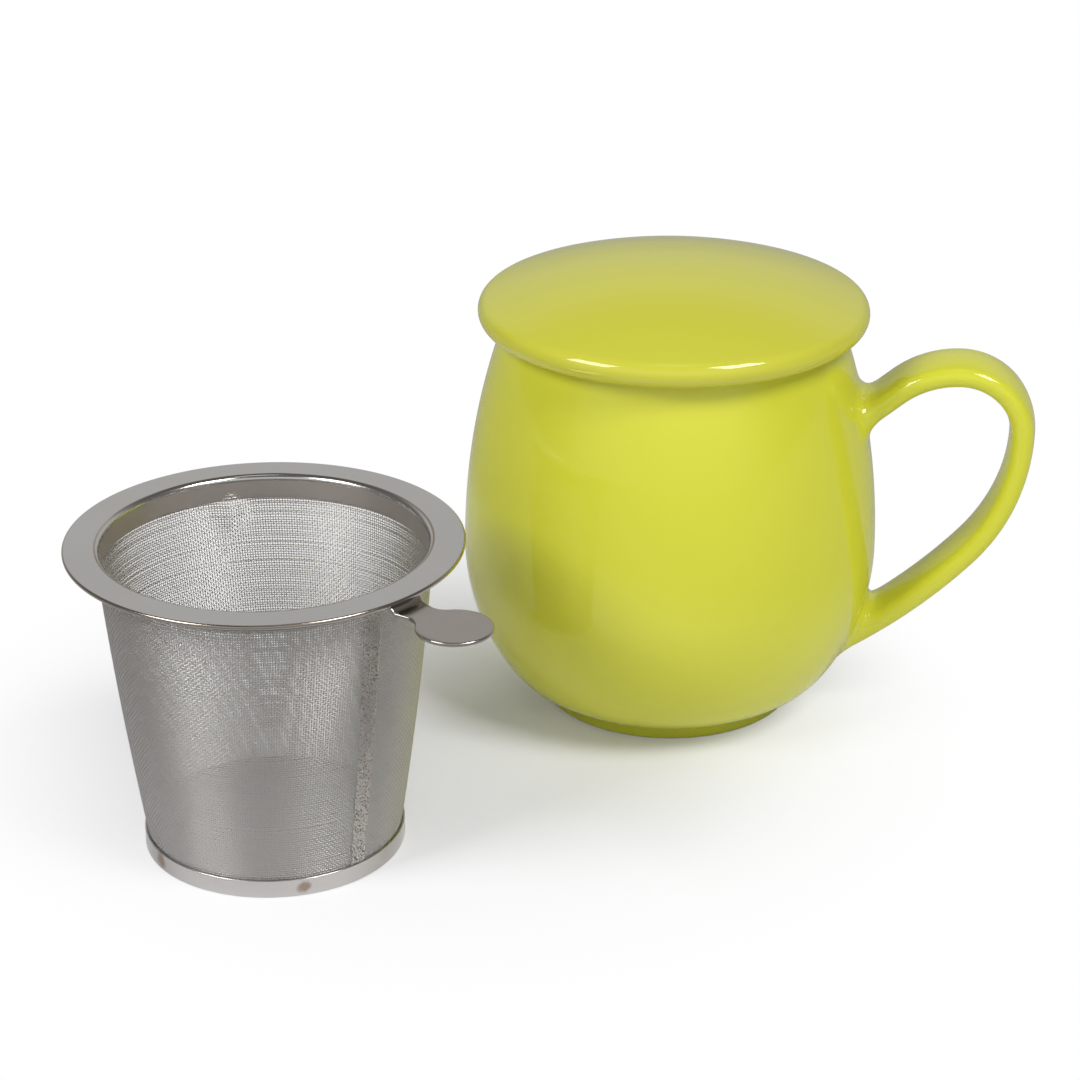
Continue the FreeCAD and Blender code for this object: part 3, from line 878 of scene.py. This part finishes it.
def rim_shape(name, material):
    """Flat pressed flange with a rolled outer edge, turned down into the tapered collar."""
    under, edge, lip = RIM_TOP - FLANGE_THICKNESS, ROLLED_EDGE, COLLAR_EDGE
    outside = COLLAR_RADIUS + STEEL_SHEET
    foot_outside = COLLAR_FOOT + STEEL_SHEET
    steps = [
        (foot_outside, COLLAR_BOTTOM + lip, lip, 1),
        (outside, under),
        (FLANGE_RADIUS - edge, under),
        (FLANGE_RADIUS, under + edge, edge, 1),
        (FLANGE_RADIUS, RIM_TOP - edge),
        (FLANGE_RADIUS - edge, RIM_TOP, edge, 1),
        (COLLAR_RADIUS + RIM_ROUND, RIM_TOP),
        (COLLAR_RADIUS, RIM_TOP - RIM_ROUND, RIM_ROUND, 1),
        (COLLAR_FOOT, COLLAR_BOTTOM + lip),
        (COLLAR_FOOT + lip, COLLAR_BOTTOM, lip, 1),
        (foot_outside - lip, COLLAR_BOTTOM),
    ]
    profile = turned_profile((foot_outside - lip, COLLAR_BOTTOM), steps, RIM_STRIDE)[:-1]
    return new_mesh(name, *turned(profile, SMALL_SEGMENTS, (INFUSER_X, INFUSER_Y), True), material)


def band_shape(name, material):
    """Straight polished band round the foot of the basket, its edges eased."""
    inside, edge = BAND_RADIUS - STEEL_SHEET, SHEET_EDGE
    steps = [
        (BAND_RADIUS - edge, 0.0),
        (BAND_RADIUS, edge, edge, 1),
        (BAND_RADIUS, BAND_HEIGHT - edge),
        (BAND_RADIUS - edge, BAND_HEIGHT, edge, 1),
        (inside + edge, BAND_HEIGHT),
        (inside, BAND_HEIGHT - edge, edge, 1),
        (inside, edge),
        (inside + edge, 0.0, edge, 1),
    ]
    profile = turned_profile((inside + edge, 0.0), steps, BAND_STRIDE)[:-1]
    return new_mesh(name, *turned(profile, SMALL_SEGMENTS, (INFUSER_X, INFUSER_Y), True), material)


def tab_outline():
    """Half of the tab's plan from its root to its tip, with the ways straight out of it."""
    tip = FLANGE_RADIUS + TAB_REACH
    paddle = tip - TAB_PADDLE
    waist_side = TAB_NECK + TAB_WAIST
    waist = complex(paddle - math.sqrt((TAB_PADDLE + TAB_WAIST) ** 2 - waist_side**2), waist_side)
    meet = complex(paddle, 0) + (waist - paddle) * TAB_PADDLE / (TAB_PADDLE + TAB_WAIST)
    points, ways = [], []
    neck_start, neck_end = complex(TAB_START, TAB_ROOT), complex(waist.real, TAB_NECK)
    slope = (neck_end - neck_start) / abs(neck_end - neck_start) * 1j
    for step in np.linspace(0, 1, NECK_STEPS):
        points.append(neck_start + (neck_end - neck_start) * step)
        ways.append(slope * (1 - step) + 1j * step)
    last = np.angle(meet - waist)
    for angle in np.linspace(-math.pi / 2, last, WAIST_STEPS)[1:]:
        points.append(waist + TAB_WAIST * np.exp(1j * angle))
        ways.append(-np.exp(1j * angle))
    for angle in np.linspace(np.angle(meet - paddle), 0, PADDLE_STEPS)[1:]:
        points.append(paddle + TAB_PADDLE * np.exp(1j * angle))
        ways.append(np.exp(1j * angle))
    return np.array(points), np.array(ways)


def tab_shape(name, material):
    """Sheet tab: a narrow neck stepped down from under the flange, and a round paddle."""
    half, ways = tab_outline()
    ring = np.concatenate([half, half[-2::-1].conjugate()])
    ring_ways = np.concatenate([ways, ways[-2::-1].conjugate()])
    edge, thick = TAB_EDGE, TAB_THICKNESS
    flat = ring - ring_ways * edge
    scales = (0.0, 0.3, 0.6, 0.85)
    rings = [(flat.real + 1j * flat.imag * scale, -thick) for scale in scales]
    for angle in np.linspace(-math.pi / 2, 0, ROUND_STEPS):
        moved = ring - ring_ways * edge * (1 - math.cos(angle))
        rings.append((moved, -thick + edge * (1 + math.sin(angle))))
    for angle in np.linspace(0, math.pi / 2, ROUND_STEPS):
        moved = ring - ring_ways * edge * (1 - math.cos(angle))
        rings.append((moved, -edge * (1 - math.sin(angle))))
    rings += [(flat.real + 1j * flat.imag * scale, 0.0) for scale in reversed(scales)]
    under = RIM_TOP - FLANGE_THICKNESS
    spin = np.exp(1j * TAB_TURN)
    vertices = []
    for plan, height in rings:
        share_down = np.clip((plan.real - TAB_START - TAB_LAND) / TAB_RAMP, 0, 1)
        drop = TAB_STEP * share_down**2 * (3 - 2 * share_down)
        spun = plan * spin
        level = under + height - drop
        vertices.append(np.column_stack([spun.real + INFUSER_X, spun.imag + INFUSER_Y, level]))
    vertices = np.concatenate(vertices)
    around = len(ring)
    faces = []
    for row in range(len(rings) - 1):
        for i in range(around):
            j = (i + 1) % around
            faces.append((row * around + j, row * around + i, (row + 1) * around + i, (row + 1) * around + j))
    made = new_mesh(name, vertices, faces, material)
    edit = bmesh.new()
    edit.from_mesh(made.data)
    bmesh.ops.dissolve_degenerate(edit, edges=edit.edges, dist=DOUBLES)
    bmesh.ops.recalc_face_normals(edit, faces=edit.faces)
    edit.to_mesh(made.data)
    edit.free()
    return made


# Woven steel
PUCKER_TURN = math.radians(114)
PUCKER_SPREAD = math.radians(5)
PUCKER_HEIGHT = 62.5 * MM
PUCKER_DROP = 4.2 * MM
UPRIGHT_SHARE = 0.82
HOOP_SHARE = 1.14
UPRIGHT_SWAY = 0.2
HOOP_SWAY = 1.8
MOST_ACROSS = 1000.0
UPRIGHT_SEED = 3
HOOP_SEED = 5
OUTWARD_SEED = 7
SIDEWAYS_SEED = 11


class WeaveTree:
    """Geometry nodes that weave bent wires: each wire is a chain of crossings, pushed to one
    side and the other of the cloth's middle by turns."""

    NUMBERS = (
        ("Wires", "NodeSocketInt", 10),
        ("First Wire", "NodeSocketInt", 0),
        ("Crossings", "NodeSocketInt", 10),
        ("Upright", "NodeSocketFloat", 0.0),
        ("Wire Radius", "NodeSocketFloat", 0.1 * MM),
        ("Pitch", "NodeSocketFloat", 0.5 * MM),
        ("Low", "NodeSocketFloat", 0.0),
        ("Low Radius", "NodeSocketFloat", 0.03),
        ("Taper", "NodeSocketFloat", 0.1),
        ("Start Angle", "NodeSocketFloat", 0.0),
        ("Angle Step", "NodeSocketFloat", 0.01),
        ("Pucker", "NodeSocketFloat", 0.0),
        ("Belly", "NodeSocketFloat", 0.0),
        ("Twist", "NodeSocketFloat", 0.0),
        ("Sway", "NodeSocketFloat", 0.0),
        ("Crush", "NodeSocketFloat", 0.0),
    )

    def __init__(self, name, material, flat):
        self.tree = bpy.data.node_groups.new(name, "GeometryNodeTree")
        face = self.tree.interface
        self.keys = {}
        for label, kind, default in self.NUMBERS:
            made = face.new_socket(label, in_out="INPUT", socket_type=kind)
            made.default_value = default
            self.keys[label] = made.identifier
        face.new_socket("Geometry", in_out="OUTPUT", socket_type="NodeSocketGeometry")
        nodes = Nodes(self.tree)
        asked = nodes.add("NodeGroupInput")
        along = {"Count": asked.output("Crossings"), "Offset": (MM, 0, 0)}
        chain = nodes.add("GeometryNodeMeshLine", {"mode": "OFFSET"}, along)
        starts = nodes.add("GeometryNodePoints", None, {"Count": asked.output("Wires")})
        copies = nodes.add("GeometryNodeInstanceOnPoints", None, {"Points": starts, "Instance": chain})
        chains = nodes.add("GeometryNodeRealizeInstances", None, {"Geometry": copies})
        index = nodes.add("GeometryNodeInputIndex")
        crossings = asked.output("Crossings")
        wire = ((index + 0.5) / crossings).floored()
        crossing = index - wire * crossings
        wire = wire + asked.output("First Wire")
        upright = asked.output("Upright")
        across = upright * wire + (1.0 - upright) * crossing
        up = upright * crossing + (1.0 - upright) * wire
        side = ((across + up) % 2.0 * 2.0 - 1.0) * (upright * 2.0 - 1.0)
        bow = side * asked.output("Wire Radius")
        shape = self.disc if flat else self.cone
        place, beyond = shape(nodes, asked, across, up, bow)
        moved = nodes.add("GeometryNodeSetPosition", None, {"Geometry": chains, "Position": place})
        if beyond is not None:
            outer = {"Geometry": moved, "Selection": beyond}
            moved = nodes.add("GeometryNodeDeleteGeometry", {"domain": "POINT"}, outer)
        lines = nodes.add("GeometryNodeMeshToCurve", None, {0: moved})
        section = {"Resolution": 4, "Radius": asked.output("Wire Radius")}
        ring = nodes.add("GeometryNodeCurvePrimitiveCircle", {"mode": "RADIUS"}, section)
        swept = {"Curve": lines, "Profile Curve": ring, "Fill Caps": True}
        tubes = nodes.add("GeometryNodeCurveToMesh", None, swept)
        smooth = nodes.add("GeometryNodeSetShadeSmooth", None, {"Geometry": tubes, "Shade Smooth": True})
        real = nodes.add("GeometryNodeRealizeInstances", None, {"Geometry": smooth})
        done = nodes.add("GeometryNodeSetMaterial", None, {"Geometry": real, "Material": material})
        nodes.add("NodeGroupOutput", None, {"Geometry": done})

    @staticmethod
    def cone(nodes, asked, across, up, bow):
        """The tapered wall, with a shallow pucker near the top of its back."""
        sway, crush = asked.output("Sway"), asked.output("Crush")
        step = asked.output("Angle Step")
        even = across * step + asked.output("Start Angle")
        height = up * asked.output("Pitch") + nodes.stray(up, HOOP_SEED) * sway * HOOP_SWAY
        crossing = up * MOST_ACROSS + across
        pushed = nodes.stray(crossing, OUTWARD_SEED) * crush
        aside = nodes.stray(across, UPRIGHT_SEED) * sway * UPRIGHT_SWAY
        aside = aside + nodes.stray(crossing, SIDEWAYS_SEED) * crush
        angle = even + (aside + height * asked.output("Twist")) / WALL_TOP_RADIUS
        level = height + asked.output("Low")
        off_turn = ((angle - PUCKER_TURN) / PUCKER_SPREAD).bell()
        off_height = ((level - PUCKER_HEIGHT) / PUCKER_DROP).bell()
        dent = off_turn * off_height * asked.output("Pucker")
        full = (level * (math.pi / WALL_TOP)).sine() * asked.output("Belly")
        radius = asked.output("Low Radius") + height * asked.output("Taper") + bow - dent + full + pushed
        place = nodes.add(
            "ShaderNodeCombineXYZ",
            None,
            {
                0: radius * angle.cosine() + INFUSER_X,
                1: radius * angle.sine() + INFUSER_Y,
                2: level,
            },
        )
        return place, None

    @staticmethod
    def disc(nodes, asked, across, up, bow):
        """The flat floor, its wires cut off at the edge."""
        middle = (asked.output("Crossings") - 1.0) / 2.0
        east = (across - middle) * asked.output("Pitch")
        north = (up - middle) * asked.output("Pitch")
        place = nodes.add(
            "ShaderNodeCombineXYZ",
            None,
            {0: east + INFUSER_X, 1: north + INFUSER_Y, 2: bow + asked.output("Low")},
        )
        reach = (east * east + north * north).root()
        return place, reach.above(asked.output("Low Radius"))

    def weave(self, name, **numbers):
        """Plain mesh of wires for these inputs."""
        mesh = bpy.data.meshes.new(name)
        made = bpy.data.objects.new(name, mesh)
        bpy.context.scene.collection.objects.link(made)
        live = made.modifiers.new("weave", "NODES")
        live.node_group = self.tree
        for label, value in numbers.items():
            live[self.keys[label.replace("_", " ").title()]] = value
        bpy.context.view_layer.update()
        return solid_copy(made)


def wall_weave(material, sizes):
    """The wall's wires in four pieces, two of uprights and two of hoops."""
    tree = WeaveTree("Woven Wall", material, False)
    around = 2 * round(math.pi * (WALL_TOP_RADIUS + WALL_FOOT_RADIUS) / sizes.pitch / 2)
    high = WALL_TOP - WALL_FOOT - 2 * sizes.wire
    count = int(high / sizes.pitch) + 1
    shared = {
        "pitch": high / (count - 1),
        "low": WALL_FOOT + sizes.wire,
        "low_radius": WALL_FOOT_RADIUS - MESH_THICKNESS / 2,
        "taper": WALL_TAPER,
        "start_angle": SEAM_TURN + SEAM_WIDTH / 2 / WALL_TOP_RADIUS,
        "angle_step": 2 * math.pi / around,
        "pucker": sizes.dent,
        "belly": sizes.belly,
        "sway": sizes.sway,
        "twist": sizes.twist,
    }
    pieces = []
    for part in range(2):
        first = part * (around // 2)
        pieces.append(
            tree.weave(
                f"wall_uprights_{part + 1}",
                wires=around // 2, first_wire=first, crossings=count, upright=1.0,
                wire_radius=sizes.wire * UPRIGHT_SHARE, **shared,
            )
        )
        first = part * (count // 2)
        wires = count // 2 if part == 0 else count - count // 2
        pieces.append(
            tree.weave(
                f"wall_hoops_{part + 1}",
                wires=wires, first_wire=first, crossings=around + 1, upright=0.0,
                wire_radius=sizes.wire * HOOP_SHARE, **shared,
            )
        )
    return pieces


def floor_weave(material, sizes):
    tree = WeaveTree("Woven Floor", material, True)
    across = 2 * int(FLOOR_RADIUS / sizes.pitch) + 1
    shared = {
        "wires": across,
        "crossings": across,
        "wire_radius": sizes.wire,
        "pitch": sizes.pitch,
        "low": (FLOOR_LOW + FLOOR_HIGH) / 2,
        "low_radius": FLOOR_RADIUS - sizes.wire,
    }
    return [
        tree.weave("floor_wires_1", upright=1.0, **shared),
        tree.weave("floor_wires_2", upright=0.0, **shared),
    ]


def seam_weave(material, sizes):
    """The lapped strip of closer weave up the outside of the wall."""
    tree = WeaveTree("Woven Seam", material, False)
    count = int((SEAM_HIGH - SEAM_LOW) / sizes.seam_pitch) + 1
    across = int(SEAM_WIDTH / sizes.seam_pitch) + 1
    low_radius = WALL_FOOT_RADIUS + WALL_TAPER * (SEAM_LOW - WALL_FOOT) + SEAM_GAP + SEAM_THICKNESS / 2
    shared = {
        "wire_radius": sizes.seam_wire,
        "pitch": (SEAM_HIGH - SEAM_LOW) / (count - 1),
        "low": SEAM_LOW,
        "low_radius": low_radius,
        "taper": WALL_TAPER,
        "start_angle": SEAM_TURN,
        "angle_step": SEAM_WIDTH / WALL_TOP_RADIUS / (across - 1),
        "belly": sizes.belly,
        "crush": sizes.crush,
    }
    return [
        tree.weave("seam_uprights", wires=across, crossings=count, upright=1.0, **shared),
        tree.weave("seam_hoops", wires=count, crossings=across, upright=0.0, **shared),
    ]


# Operators
class TEAMUG_OT_mug(bpy.types.Operator):
    """Make the mug's glazed body"""

    bl_idname = "tea_mug.mug"
    bl_label = "Mug body"

    def execute(self, context):
        look = context.scene.mug_glaze
        glaze = glaze_material("Mug glaze", look, look.body, 0.0, POOL_LOW, POOL_HIGH)
        place_piece(mug_shape("mug", glaze, look.root), "mug", "glaze", "mug_body")
        return {"FINISHED"}


class TEAMUG_OT_handle(bpy.types.Operator):
    """Make the handle, flowing into the body at both roots"""

    bl_idname = "tea_mug.handle"
    bl_label = "Handle"

    def execute(self, context):
        look = context.scene.mug_glaze
        glaze = bpy.data.materials["Mug glaze"]
        place_piece(handle_shape("handle", glaze, look.root), "mug", "glaze", "mug_handle")
        return {"FINISHED"}


class TEAMUG_OT_lid(bpy.types.Operator):
    """Make the loose domed lid"""

    bl_idname = "tea_mug.lid"
    bl_label = "Lid"

    def execute(self, context):
        look = context.scene.mug_glaze
        low = LID_BOTTOM
        # The lid's darker glaze colour is painted shade for its lamp-facing top
        glaze = glaze_material("Lid glaze", look, look.lid, low, low - 2 * MM, low - MM)
        place_piece(lid_shape("lid_dome", glaze), "lid", "lid_glaze", "lid")
        return {"FINISHED"}


class TEAMUG_OT_rim(bpy.types.Operator):
    """Make the infuser's pressed rim and its tab"""

    bl_idname = "tea_mug.rim"
    bl_label = "Infuser rim"

    def execute(self, context):
        look = context.scene.mug_steel
        steel = turned_steel("Pressed steel", look.sheet, look, look.satin, collar=True)
        brown = turned_steel("Tab steel", look.tab, look, look.satin + TAB_DULLER)
        place_piece(rim_shape("rim", steel), "infuser", "pressed_steel", "rim_ring")
        place_piece(tab_shape("tab", brown), "infuser", "pressed_steel", "thumb_tab")
        return {"FINISHED"}


class TEAMUG_OT_basket(bpy.types.Operator):
    """Weave the infuser's wall, floor and seam"""

    bl_idname = "tea_mug.basket"
    bl_label = "Woven basket"

    def execute(self, context):
        look, sizes = context.scene.mug_steel, context.scene.mug_weave
        wire = wire_material("Woven wire", look.wire)
        seam = seam_material("Seam wire", look)
        for piece in wall_weave(wire, sizes):
            place_piece(piece, "infuser", "steel_mesh", "mesh_wall")
        for piece in floor_weave(wire, sizes):
            place_piece(piece, "infuser", "steel_mesh", "mesh_floor")
        for piece in seam_weave(seam, sizes):
            place_piece(piece, "infuser", "steel_mesh", "mesh_seam")
        return {"FINISHED"}


class TEAMUG_OT_band(bpy.types.Operator):
    """Make the polished band round the basket's foot"""

    bl_idname = "tea_mug.band"
    bl_label = "Bottom band"

    def execute(self, context):
        look = context.scene.mug_steel
        welds = []
        for degrees, reach in BAND_WELDS:
            spot = (BAND_RADIUS - STEEL_SHEET / 2) * np.exp(1j * math.radians(degrees))
            welds.append(((INFUSER_X + spot.real, INFUSER_Y + spot.imag, WELD_HEIGHT), reach * MM))
        steel = turned_steel("Bright steel", look.bright, look, look.polish, welds)
        place_piece(band_shape("band", steel), "infuser", "bright_steel", "bottom_band")
        return {"FINISHED"}


# The studio: a round wall about the table, turned in at the top, and two soft lamps
FLOOR_REACH = 12.0
FLOOR_DROP = 0.05 * MM
WALL_LOW = (2.8, 0.02)
WALL_HIGH = (2.6, 1.4)
CEILING_EDGE = (0.4, 3.0)
WALL_BEND = 2.4
WALL_STRIDE = 0.4
SKY = 0.62
LAMP_AIM = (0, 0, 0.05)
LEFT_LAMP = (-0.68, -0.60, 0.78)
LEFT_SIZE = (0.46, 0.42)
LEFT_POWER = 6.1
RIGHT_LAMP = (0.62, -0.46, 1.05)
RIGHT_SIZE = (0.46, 0.46)
RIGHT_POWER = 9.3
SHADE_CENTRE = (-46 * MM, -28 * MM, 0.0)
SHADE_FULL = 32 * MM
SHADE_END = 130 * MM
MIRROR_START = 80 * MM
MIRROR_FULL = 200 * MM
LOW_WALL_SHARE = 0.75
FACING_ZONE = (0.6, 4.2)
MIDDLE_ZONE = (-0.5, 0.5)
LOW_ZONE = (0.2, 0.9)
HIGH_ZONE = (1.5, 2.4)
SENSOR = 36.0
NEAREST = 0.01
FURTHEST = 50.0


def soft_box(name, place, aim, size, power):
    light = bpy.data.lights.new(name, "AREA")
    light.shape, light.energy = "RECTANGLE", power
    light.size, light.size_y = size
    made = bpy.data.objects.new(name, light)
    made.location = place
    made.rotation_euler = (Vector(aim) - Vector(place)).to_track_quat("-Z", "Y").to_euler()
    bpy.context.scene.collection.objects.link(made)


def rays_seen(nodes):
    """Masks of the camera's own rays and of those that a glossy or clear surface sends on."""
    camera = nodes.add("ShaderNodeLightPath")
    return camera, camera.output("Is Glossy Ray") + camera.output("Is Transmission Ray")


def floor_material(look):
    """Pale lit floor, plain white further from the object. Glossy surfaces see the floor further
    off a little darker, which keeps their edges from shining."""
    made, nodes = new_material("Floor")
    camera, mirrored = rays_seen(nodes)
    place, _ = object_place(nodes)
    away = nodes.distance(place, SHADE_CENTRE)
    lift = look.lift + (1.0 - look.lift) * nodes.between(away, SHADE_FULL, SHADE_END)
    lit = nodes.add("ShaderNodeBsdfDiffuse", None, {"Color": opaque(look.floor)})
    white = nodes.grey_glow("ShaderNodeEmission", 1.0)
    dim = nodes.grey_glow("ShaderNodeEmission", look.mirrored)
    direct = nodes.mix_shader(camera * lift, lit, white)
    far_off = mirrored * nodes.between(away, MIRROR_START, MIRROR_FULL)
    both = nodes.mix_shader(far_off, direct, dim)
    nodes.add("ShaderNodeOutputMaterial", None, {"Surface": both})
    return made


def surround_material(look):
    """Walls that are bright before and behind the table, dimmer at its sides and overhead."""
    made, nodes = new_material("Surround")
    _, axes = object_place(nodes)
    across, up = axes.output("Y"), axes.output("Z")
    facing = nodes.between(across * across, *FACING_ZONE)
    before = 1.0 - nodes.between(across, *MIDDLE_ZONE)
    grey = look.flanks + (look.surround - look.flanks + before * (look.front - look.surround)) * facing
    grey = grey * (LOW_WALL_SHARE + (1.0 - LOW_WALL_SHARE) * nodes.between(up, *LOW_ZONE))
    overhead = nodes.between(up, *HIGH_ZONE)
    grey = grey + (look.ceiling - grey) * overhead
    dark = nodes.grey_glow("ShaderNodeEmission", 0.0)
    white = nodes.grey_glow("ShaderNodeEmission", 1.0)
    glow = nodes.mix_shader(grey, dark, white)
    nodes.add("ShaderNodeOutputMaterial", None, {"Surface": glow})
    return made


def studio_sky():
    """World that the camera and glossy surfaces see white, and that lights a little less."""
    world = bpy.data.worlds.new("Studio")
    world.use_nodes = True
    world.node_tree.nodes.clear()
    nodes = Nodes(world.node_tree)
    camera, mirrored = rays_seen(nodes)
    soft = nodes.grey_glow("ShaderNodeBackground", SKY)
    white = nodes.grey_glow("ShaderNodeBackground", 1.0)
    sky = nodes.mix_shader((camera + mirrored).at_most(1.0), soft, white)
    nodes.add("ShaderNodeOutputWorld", None, {"Surface": sky})
    return world


class TEAMUG_OT_studio(bpy.types.Operator):
    """Set the floor, the pale surround, the lamps and the camera"""

    bl_idname = "tea_mug.studio"
    bl_label = "Studio"

    def execute(self, context):
        scene, look = context.scene, context.scene.mug_studio
        scene.view_settings.view_transform = "Standard"
        across = FLOOR_REACH
        corners = [(-across, -across), (across, -across), (across, across), (-across, across)]
        corners = np.array([(x, y, -FLOOR_DROP) for x, y in corners])
        floor = new_mesh("floor", corners, [(0, 1, 2, 3)], floor_material(look))
        walls = turned_profile(WALL_LOW, [WALL_HIGH, (*CEILING_EDGE, WALL_BEND, 1)], WALL_STRIDE)
        surround = new_mesh("surround", *turned(walls, WALL_SEGMENTS), surround_material(look))
        surround.visible_camera = False
        scene.world = studio_sky()
        soft_box("top_left", LEFT_LAMP, LAMP_AIM, LEFT_SIZE, LEFT_POWER)
        soft_box("top_right", RIGHT_LAMP, LAMP_AIM, RIGHT_SIZE, RIGHT_POWER)
        lens = bpy.data.cameras.new("camera")
        lens.lens, lens.sensor_width = look.lens, SENSOR
        lens.clip_start, lens.clip_end = NEAREST, FURTHEST
        camera = bpy.data.objects.new("camera", lens)
        camera.location = look.camera
        camera.rotation_euler = (look.tilt, 0.0, look.turn)
        scene.collection.objects.link(camera)
        scene.camera = camera
        return {"FINISHED"}


class TEAMUG_PT_panel(bpy.types.Panel):
    """Lists the mug's pieces"""

    bl_idname = "TEAMUG_PT_panel"
    bl_label = "Tea Mug"
    bl_space_type = "VIEW_3D"
    bl_region_type = "UI"
    bl_category = "Tea Mug"

    def draw(self, context):
        for made in OPERATORS:
            self.layout.operator(made.bl_idname)


OPERATORS = (
    TEAMUG_OT_mug,
    TEAMUG_OT_handle,
    TEAMUG_OT_lid,
    TEAMUG_OT_rim,
    TEAMUG_OT_basket,
    TEAMUG_OT_band,
    TEAMUG_OT_studio,
)
GROUPS = {
    "mug_glaze": GlazeLook,
    "mug_steel": SteelLook,
    "mug_weave": WeaveSizes,
    "mug_studio": StudioLook,
}


def register():
    for made in (*GROUPS.values(), *OPERATORS, TEAMUG_PT_panel):
        bpy.utils.register_class(made)
    for name, group in GROUPS.items():
        setattr(bpy.types.Scene, name, bpy.props.PointerProperty(type=group))


def unregister():
    for name in GROUPS:
        delattr(bpy.types.Scene, name)
    for made in (TEAMUG_PT_panel, *reversed(OPERATORS), *reversed(GROUPS.values())):
        bpy.utils.unregister_class(made)


def main():
    register()
    bpy.ops.tea_mug.mug()
    bpy.ops.tea_mug.handle()
    bpy.ops.tea_mug.lid()
    bpy.ops.tea_mug.rim()
    bpy.ops.tea_mug.basket()
    bpy.ops.tea_mug.band()
    bpy.ops.tea_mug.studio()


if __name__ == "__main__":
    main()
